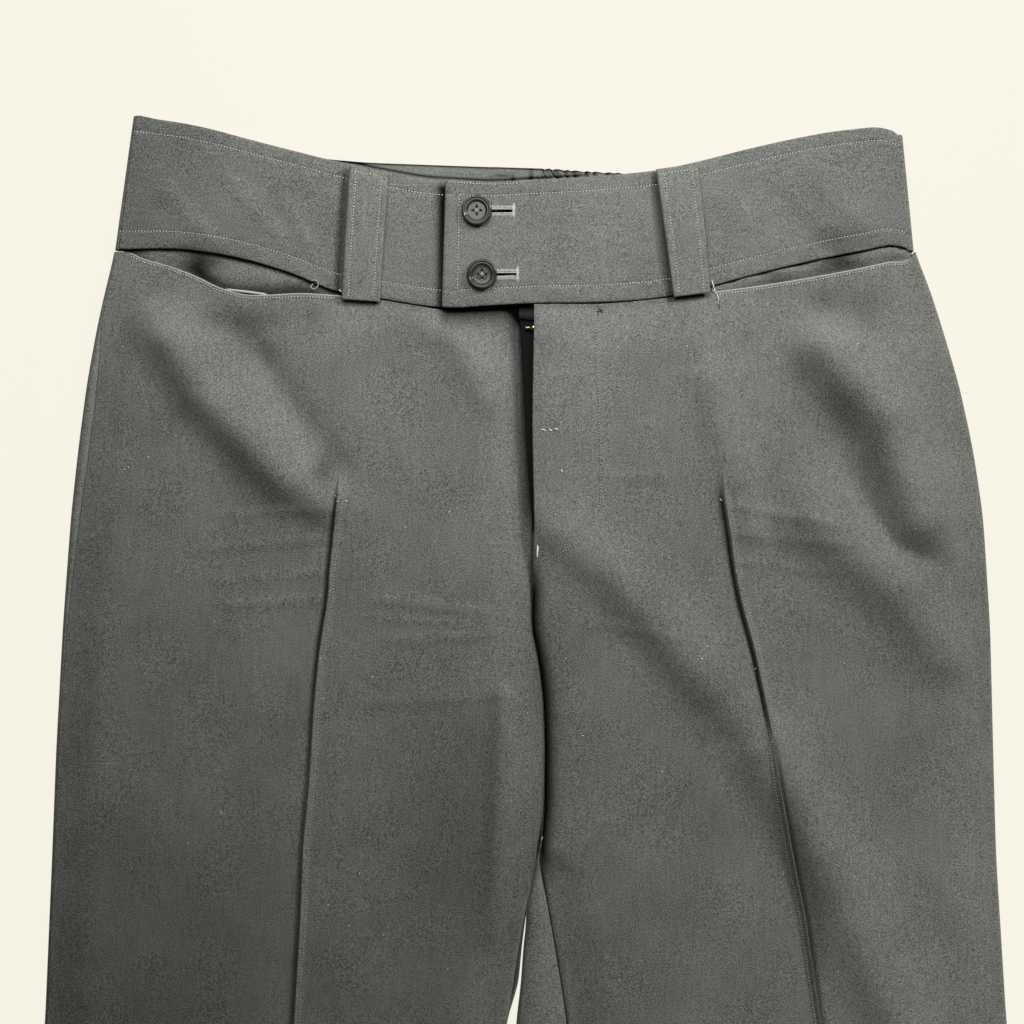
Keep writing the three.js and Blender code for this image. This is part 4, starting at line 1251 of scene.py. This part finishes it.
# Materials
def material(name):
    made = bpy.data.materials.new(name)
    made.use_nodes = True
    return made, made.node_tree, made.node_tree.nodes["Principled BSDF"]


def add_node(tree, kind, **values):
    """A node whose named inputs are given values, or are linked where a socket is given."""
    node = tree.nodes.new(kind)
    for name, value in values.items():
        feed(tree, node.inputs[name], value)
    return node


def feed(tree, socket, value):
    if isinstance(value, bpy.types.NodeSocket):
        tree.links.new(value, socket)
    else:
        socket.default_value = value


def math_node(tree, operation, *values):
    node = tree.nodes.new("ShaderNodeMath")
    node.operation = operation
    for socket, value in zip(node.inputs, values):
        feed(tree, socket, value)
    return node.outputs[0]


def color_ramp(tree, fac, dark, light, low=0.0, high=1.0):
    node = add_node(tree, "ShaderNodeValToRGB", Fac=fac)
    first, last = node.color_ramp.elements
    first.position, last.position = low, high
    first.color, last.color = (*dark, 1), (*light, 1)
    return node.outputs["Color"]


def cloth_material(name, dark, light, turn=0.0, grain=0.35):
    """Fine twill: diagonal ribs, mixed yarn colour, soft mottling and a dull sheen, darkened toward
    near-black by the painted shade stored on the mesh.
    """
    made, tree, shader = material(name)
    places = tree.nodes.new("ShaderNodeTexCoord").outputs["Object"]
    spot = add_node(tree, "ShaderNodeMapping", Vector=places, Rotation=(0, 0, turn)).outputs["Vector"]
    long_spot = add_node(tree, "ShaderNodeMapping", Vector=spot, Scale=(1.0, 0.12, 1.0)).outputs["Vector"]

    def noise(vector, scale, detail, rough):
        values = {"Vector": vector, "Scale": scale, "Detail": detail, "Roughness": rough}
        return add_node(tree, "ShaderNodeTexNoise", **values).outputs["Fac"]

    wave = add_node(tree, "ShaderNodeTexWave", Vector=spot, Scale=640, Distortion=2.5, Detail=1)
    wave.wave_type = "BANDS"
    wave.bands_direction = "DIAGONAL"
    ribs = wave.outputs["Fac"]
    yarn = noise(spot, 1750, 1, 0.7)
    warp = noise(long_spot, 700, 2, 0.6)
    mottle = noise(spot, 28, 3, 0.55)
    mixed = math_node(tree, "MULTIPLY_ADD", yarn, grain, 0.5 - grain / 2)
    for pattern, share in ((warp, 0.25), (mottle, 0.3), (ribs, 0.1)):
        lowered = math_node(tree, "SUBTRACT", mixed, share / 2)
        mixed = math_node(tree, "MULTIPLY_ADD", pattern, share, lowered)
    # Painted shade: the stored value mixes the colour toward near-black and lowers sheen and specular
    painted_shade = tree.nodes.new("ShaderNodeAttribute")
    painted_shade.attribute_name = "painted_shade"
    painted_shade_share = painted_shade.outputs["Fac"]
    painted_shade_mix = tree.nodes.new("ShaderNodeMix")
    painted_shade_mix.data_type = "RGBA"
    feed(tree, painted_shade_mix.inputs["Factor"], painted_shade_share)
    feed(tree, painted_shade_mix.inputs["A"], color_ramp(tree, mixed, dark, light, 0.2, 0.8))
    feed(tree, painted_shade_mix.inputs["B"], (0.0012, 0.0012, 0.0011, 1))
    feed(tree, shader.inputs["Base Color"], painted_shade_mix.outputs["Result"])
    feed(tree, shader.inputs["Sheen Weight"], math_node(tree, "MULTIPLY_ADD", painted_shade_share, -0.12, 0.12))
    feed(tree, shader.inputs["Specular IOR Level"], math_node(tree, "MULTIPLY_ADD", painted_shade_share, -0.28, 0.28))
    feed(tree, shader.inputs["Roughness"], math_node(tree, "MULTIPLY_ADD", yarn, 0.2, 0.68))
    shader.inputs["Sheen Roughness"].default_value = 0.5
    relief = math_node(tree, "MULTIPLY_ADD", ribs, 0.5, yarn)
    bump = add_node(tree, "ShaderNodeBump", Strength=0.35, Distance=0.00018, Height=relief)
    feed(tree, shader.inputs["Normal"], bump.outputs["Normal"])
    return made


def plain_material(name, low, high, scale, rough, metal=0.0, coat=0.0, shine=0.5):
    made, tree, shader = material(name)
    places = tree.nodes.new("ShaderNodeTexCoord").outputs["Object"]
    mottle = add_node(tree, "ShaderNodeTexNoise", Vector=places, Scale=scale, Detail=4).outputs["Fac"]
    feed(tree, shader.inputs["Base Color"], color_ramp(tree, mottle, low, high))
    feed(tree, shader.inputs["Roughness"], math_node(tree, "MULTIPLY_ADD", mottle, 0.18, rough - 0.09))
    shader.inputs["Specular IOR Level"].default_value = shine
    shader.inputs["Metallic"].default_value = metal
    shader.inputs["Coat Weight"].default_value = coat
    shader.inputs["Coat Roughness"].default_value = 0.1
    shader.inputs["Coat Tint"].default_value = (1.0, 0.96, 0.86, 1)
    bump = add_node(tree, "ShaderNodeBump", Strength=0.3, Distance=0.00005, Height=mottle)
    feed(tree, shader.inputs["Normal"], bump.outputs["Normal"])
    return made


LEG_LOOK = cloth_material("leg_twill", (0.026, 0.0262, 0.0233), (0.147, 0.149, 0.1345), grain=1.7)
BAND_LOOK = cloth_material("band_twill", (0.022, 0.0222, 0.02), (0.132, 0.134, 0.1225), turn=1.57, grain=1.8)
FACING_LOOK = cloth_material(
    "facing_twill", (0.022, 0.0222, 0.02), (0.135, 0.1365, 0.124), turn=0.8, grain=1.8
)
# Painted shade: the seam allowance is the same cloth as the rest, coloured near-black for the shadow it lies
# in
ALLOWANCE_SHADE_LOOK = cloth_material("allowance_painted_shade_twill", (0.003, 0.003, 0.003), (0.012, 0.012, 0.011), grain=1.0)
INSIDE_LOOK = cloth_material("inside_twill", (0.03, 0.031, 0.028), (0.13, 0.132, 0.122), turn=1.57, grain=1.2)
# Painted highlight: the rolled pocket lips are coloured paler than the cloth they are made of
LIP_HIGHLIGHT_LOOK = plain_material("lip_edge_painted_highlight", (0.15, 0.151, 0.14), (0.34, 0.342, 0.315), 1400, 0.8, shine=0.2)
BAG_LOOK = plain_material("pocket_bag_edge", (0.17, 0.17, 0.155), (0.34, 0.34, 0.315), 700, 0.85, shine=0.2)
THREAD_LOOK = plain_material("sewing_thread", (0.24, 0.24, 0.22), (0.5, 0.5, 0.465), 900, 0.7)
LEG_THREAD_LOOK = plain_material("leg_thread", (0.14, 0.14, 0.128), (0.36, 0.36, 0.33), 900, 0.75, shine=0.2)
HOLE_THREAD_LOOK = plain_material("buttonhole_thread", (0.2, 0.2, 0.185), (0.46, 0.46, 0.43), 900, 0.7)
BUTTON_THREAD_LOOK = plain_material("button_thread", (0.1, 0.1, 0.09), (0.26, 0.26, 0.24), 900, 0.7)
DARK_THREAD_LOOK = plain_material("dark_thread", (0.008, 0.008, 0.008), (0.03, 0.03, 0.028), 900, 0.8)
PALE_THREAD_LOOK = plain_material("pale_thread", (0.5, 0.5, 0.47), (0.85, 0.84, 0.8), 900, 0.75)
# The tape's own dark colour, darkened further to near-black as painted shade of the fly gap under the flap
TAPE_SHADE_LOOK = plain_material(
    "zip_tape_weave_painted_shade", (0.003, 0.003, 0.003), (0.008, 0.008, 0.008), 1200, 0.95, shine=0.1
)
BRASS_LOOK = plain_material("brass", (0.5, 0.37, 0.13), (0.78, 0.62, 0.3), 500, 0.28, metal=1.0)
BUTTON_LOOK = plain_material(
    "button_plastic", (0.006, 0.006, 0.006), (0.03, 0.029, 0.026), 160, 0.2, coat=0.22, shine=0.1
)


# Painted shade: how dark each cloth is painted where it lies close under or beside another piece, or beside a
# crease or seam, standing in for the shade that falls there
def window(low, high, soft, value):
    return ease(low - soft, low + soft, value) * (1 - ease(high - soft, high + soft, value))


def under_band(across, down, reach):
    return bell(np.maximum(down - band_low(across), 0), reach)


def right_front_painted_shade(across, down):
    tab = 0.9 * window(TAB_LEFT - 1, 8, 3, across) * under_band(across, down, 8.5)
    band = 0.35 * under_band(across, down, 2.2)
    loop = 0.6 * window(-92, -70, 1.5, across) * under_band(across, down, 4)
    from_edge = right_middle(down) - across
    gap = 0.7 * bell(from_edge, 4.5) * window(90, 200, 12, down)
    seam = 0.4 * bell(from_edge, 2.0) * window(215, 380, 12, down)
    crease = 0.85 * bell(across - right_crease(down) + 0.9, 1.0) * ease(182, 190, down)
    return tab + band + gap + seam + loop + crease * (1 - 0.5 * ease(250, 330, down))


def left_front_painted_shade(across, down):
    band = 0.35 * under_band(across, down, 2.2)
    loop = 0.6 * window(71, 90, 1.5, across) * under_band(across, down, 4)
    from_seam = np.maximum(across - left_seam(down), 0)
    seam = bell(from_seam, 4.2) * window(222, 372, 14, down)
    inseam = 0.55 * bell(from_seam, 1.6) * ease(365, 385, down)
    side = across - left_crease(down)
    upper = 0.95 * bell(side + 1.1, 1.2) * (1 - left_lean(down))
    lower = 0.6 * bell(side - 1.2, 1.5) * left_lean(down)
    wedge = 0.3 * bell(side - 5, 5) * window(325, 420, 20, down)
    return seam + inseam + band + loop + wedge + (upper + lower) * ease(182, 190, down)


def right_band_painted_shade(across, down):
    tab = 0.96 * bell(np.maximum(TAB_LEFT - across, 0), 2.8) * window(34, 100, 1, down)
    loop = 0.7 * bell(across + 86.6 + (down - 25) * 0.06, 2.0) * window(27, 93, 2, down)
    # The painted shade also darkens the band a little towards its left end
    return tab + loop + 0.14 * ease(-120, -185, across)


def left_band_painted_shade(across, down):
    return 0.7 * bell(across - 65 - (down - 27) * 0.139, 2.2) * window(29, 90, 2, down)


def right_facing_painted_shade(across, down):
    """Painted shade along the band's lower edge and toward both ends of the mouth."""
    low = 0.75 * bell(down - right_top(across) + 1.5, 3.4) * window(-160, -106, 9, across)
    ends = 0.5 * ease(-190, -181, -across - 371) + 0.35 * ease(-118, -98, across)
    return 0.5 * under_band(across, down, 1.8) + low + ends


def left_facing_painted_shade(across, down):
    return 0.2 * under_band(across, down, 1.0)


def inside_painted_shade(across, down):
    """Painted shade in lines between the pleats, and under the rim of the back band."""
    below_rim = down - curve(BAND_BACK, "top_across", "top_down", across)
    above_front = curve(BAND_FRONT, "top_across", "top_down", across) - down
    seam = 0.9 * bell(above_front - 1.9, 0.7) * window(-88, 32, 4, across)
    pleats = 0.95 * ease(0.3, -0.9, gathers(across, below_rim / 66)) * (1 - 0.6 * ease(16, 34, across))
    pleats = pleats * window(GATHER_START + 2, GATHER_END - 14, 3, across)
    return 0.85 * bell(below_rim - 0.5, 0.6) + seam + pleats


PAINTED_SHADES = {
    "front_right": right_front_painted_shade,
    "front_left": left_front_painted_shade,
    "waistband_front_right": right_band_painted_shade,
    "waistband_front_left": left_band_painted_shade,
    "pocket_facing_right": right_facing_painted_shade,
    "pocket_facing_left": left_facing_painted_shade,
    "waistband_back_inside": inside_painted_shade,
}

# Soft patches of painted shade too, in hollows and where the light falls off: middle across, down, reach
# across, down, how dark
PAINTED_SHADE_SPOTS = {
    "front_right": [
        (-138, 100, 20, 7, 0.4),
        (-102, 98, 8, 7, 0.26),
        (-97, 174, 5, 9, 0.45),
        (-30, 350, 32, 60, 0.27),
        (-165, 430, 60, 70, 0.16),
    ],
    "front_left": [
        (149, 90, 9, 7, 0.36),
        (167, 93, 12, 11, 0.34),
        (159, 147, 9, 14, 0.22),
        (171, 172, 9, 17, 0.22),
    ],
    "waistband_front_right": [
        (-164, 66, 9, 4, 0.45),
        (-150, 69, 6, 3.5, 0.3),
    ],
    "waistband_front_left": [
        (155, 61, 12, 7, 0.42),
    ],
    "pocket_facing_right": [
        (-160, 72, 8, 10, 0.62),
        (-152, 72, 10, 4, 0.4),
    ],
    "pocket_facing_left": [
        (156, 71.5, 11, 5, 0.8),
        (126, 79, 8, 3, 0.4),
    ],
    "waistband_back_inside": [
        (-10, 29, 4, 0.8, 0.7),
        (4.5, 30, 1.2, 5, 0.7),
        (-4.5, 31, 1.0, 3, 0.6),
        (-8, 33, 1.0, 2, 0.4),
    ],
}


def paint_shade(piece, key):
    """Stores the painted shade at each point of the mesh: how dark the cloth is painted there."""
    spots = np.array([vertex.co for vertex in piece.data.vertices]) / MM
    across, down = spots[:, 0] + ORIGIN_ACROSS, ORIGIN_DOWN - spots[:, 1]
    dark = PAINTED_SHADES[key](across, down)
    for at_across, at_down, reach_across, reach_down, depth in PAINTED_SHADE_SPOTS[key]:
        dark = dark + depth * bell(across - at_across, reach_across) * bell(down - at_down, reach_down)
    stored = piece.data.attributes.new("painted_shade", "FLOAT", "POINT")
    stored.data.foreach_set("value", np.clip(dark, 0, 1).astype(np.float32))


def finish_piece(piece, look, slot_name, *nodes_replaced, body=BODY):
    piece.data.materials.clear()
    piece.data.materials.append(look)
    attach(piece, body)
    if nodes_replaced:
        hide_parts(*nodes_replaced)


CLOTH_SLOT = "charcoal_cloth"
for key, made, look in (
    ("front_right", make_front_right(), LEG_LOOK),
    ("front_left", make_front_left(), LEG_LOOK),
    ("back_right", make_back_right(), LEG_LOOK),
    ("back_left", make_back_left(), LEG_LOOK),
    ("waistband_front_right", make_band_front_right(), BAND_LOOK),
    ("waistband_front_left", make_band_front_left(), BAND_LOOK),
    ("waistband_back", make_band_back(), BAND_LOOK),
    ("belt_loop_right", make_loop("right"), LEG_LOOK),
    ("belt_loop_left", make_loop("left"), LEG_LOOK),
    ("pocket_facing_right", make_facing("right"), FACING_LOOK),
    ("pocket_facing_left", make_facing("left"), FACING_LOOK),
):
    finish_piece(made, look, CLOTH_SLOT, key)
    # Painted shade, stored on the pieces that have it
    if key in PAINTED_SHADES:
        paint_shade(made, key)
band_inside = make_band_inside()
finish_piece(band_inside, INSIDE_LOOK, CLOTH_SLOT)
paint_shade(band_inside, "waistband_back_inside")
waist_allowance = make_waist_allowance()
# Near-black painted shade on the seam allowance
finish_piece(waist_allowance, ALLOWANCE_SHADE_LOOK, CLOTH_SLOT)

for name, runs, radius, look in (
    ("sewing_threads", band_runs(), THREAD_RADIUS, THREAD_LOOK),
    ("leg_threads", leg_runs(), THREAD_RADIUS, LEG_THREAD_LOOK),
    ("buttonhole_threads", buttonhole_runs(), 0.2, HOLE_THREAD_LOOK),
    ("pale_bar_tacks", loose_runs(PALE_THREADS, front_height, 0.1), 0.2, PALE_THREAD_LOOK),
    ("lint", lint_runs(), 0.11, PALE_THREAD_LOOK),
    ("dark_thread_ends", loose_runs(DARK_THREADS, left_height, 0.05), 0.22, DARK_THREAD_LOOK),
    # Short dark tubes in the needle holes: painted shade of the dimples
    ("needle_holes_painted_shade", NEEDLE_HOLE_SHADES, 0.3, DARK_THREAD_LOOK),
    ("pocket_lip_edges_painted_highlight", lip_runs(), 0.38, LIP_HIGHLIGHT_LOOK),
    ("pocket_bag_edge", bag_edge_runs(), 0.8, BAG_LOOK),
):
    finish_piece(thread_mesh(name, runs, radius), look, CLOTH_SLOT)
for name, (across, down, _) in zip(("upper", "lower"), BUTTONS):
    finish_piece(make_button(f"button_{name}_turned", across, down), BUTTON_LOOK, "button", f"button_{name}")
finish_piece(thread_mesh("button_threads", button_thread_runs(), 0.17), BUTTON_THREAD_LOOK, CLOTH_SLOT)
finish_piece(make_pull(), BRASS_LOOK, "brass", "zip_pull", body=PULL_BODY)
finish_piece(make_zip_teeth(), BRASS_LOOK, "brass")
for node, look in (("zip_tape", TAPE_SHADE_LOOK), ("zip_slider", BRASS_LOOK)):
    shown = bpy.data.objects[node]
    shown.data.materials.clear()
    shown.data.materials.append(look)
rounded = bpy.data.objects["zip_slider"].modifiers.new("edges", "BEVEL")
rounded.width = 0.15 * MM
rounded.segments = 2

# Camera straight above, framed as the photograph
MM_A_PIXEL = 0.49
FRAME_WIDTH = 1024 * MM_A_PIXEL
CAMERA_ACROSS = (512 - 522) * MM_A_PIXEL
CAMERA_DOWN = (512 - 115) * MM_A_PIXEL
CAMERA_HEIGHT = 650.0
CLOTH_LEVEL = 6.0
SENSOR = 36.0
camera_data = bpy.data.cameras.new("camera")
camera_data.sensor_width = SENSOR
camera_data.lens = SENSOR * (CAMERA_HEIGHT - CLOTH_LEVEL) / FRAME_WIDTH
camera = add_object("camera", camera_data)
camera.location = place(CAMERA_ACROSS, CAMERA_DOWN, CAMERA_HEIGHT).tolist()
bpy.context.scene.camera = camera

# Floor, as pale as the empty surroundings
PALE = (0.947, 0.922, 0.799, 1)
PALE_STRENGTH = 0.955
FLOOR_HALF = 4.0
FLOOR_LEVEL = -0.0004
floor_mesh = bpy.data.meshes.new("floor")
corners = [(x * FLOOR_HALF, y * FLOOR_HALF, FLOOR_LEVEL) for x, y in ((-1, -1), (1, -1), (1, 1), (-1, 1))]
floor_mesh.from_pydata(corners, [], [(0, 1, 2, 3)])
floor = add_object("floor", floor_mesh)
floor_look, _, floor_shader = material("floor")
floor_shader.inputs["Base Color"].default_value = (0.02, 0.0195, 0.018, 1)
floor_shader.inputs["Roughness"].default_value = 0.9
floor_shader.inputs["Specular IOR Level"].default_value = 0.0
floor_shader.inputs["Emission Color"].default_value = PALE
floor_shader.inputs["Emission Strength"].default_value = PALE_STRENGTH
floor_mesh.materials.append(floor_look)

# Lamps, in metres and out of the camera's sight: name, place, target, size, energy, colour
WARM = (1.0, 0.995, 0.965)
COOL = (0.99, 0.995, 1.0)
for name, location, target, size, energy, color in (
    ("key", (0.75, 1.0, 0.55), (0.05, 0.35, 0.0), 0.22, 14.0, WARM),
    ("top", (-0.06, 0.70, 0.34), (-0.02, 0.42, 0.0), 0.34, 3.25, COOL),
    ("low", (0.27, 0.03, 0.2), (0.16, 0.14, 0.0), 0.18, 0.42, COOL),
    ("legs", (0.0, -0.45, 0.42), (0.0, -0.62, 0.0), 0.3, 1.1, COOL),
):
    lamp = bpy.data.lights.new(name, "AREA")
    lamp.shape = "DISK"
    lamp.size = size
    lamp.energy = energy
    lamp.color = color
    light = add_object(name, lamp)
    light.location = location
    light.rotation_euler = (Vector(target) - Vector(location)).to_track_quat("-Z", "Y").to_euler()

# Surroundings: pale where they are seen, dim as a light
world = bpy.data.worlds.new("world")
world.use_nodes = True
sky_tree = world.node_tree
dim = sky_tree.nodes["Background"]
dim.inputs["Color"].default_value = (0.9, 0.93, 1.0, 1)
dim.inputs["Strength"].default_value = 0.02
seen = add_node(sky_tree, "ShaderNodeBackground", Color=PALE, Strength=PALE_STRENGTH)
ray = sky_tree.nodes.new("ShaderNodeLightPath")
sky = sky_tree.nodes.new("ShaderNodeMixShader")
feed(sky_tree, sky.inputs["Fac"], ray.outputs["Is Camera Ray"])
feed(sky_tree, sky.inputs[1], dim.outputs["Background"])
feed(sky_tree, sky.inputs[2], seen.outputs["Background"])
feed(sky_tree, sky_tree.nodes["World Output"].inputs["Surface"], sky.outputs["Shader"])
bpy.context.scene.world = world
bpy.context.scene.view_settings.view_transform = "Standard"

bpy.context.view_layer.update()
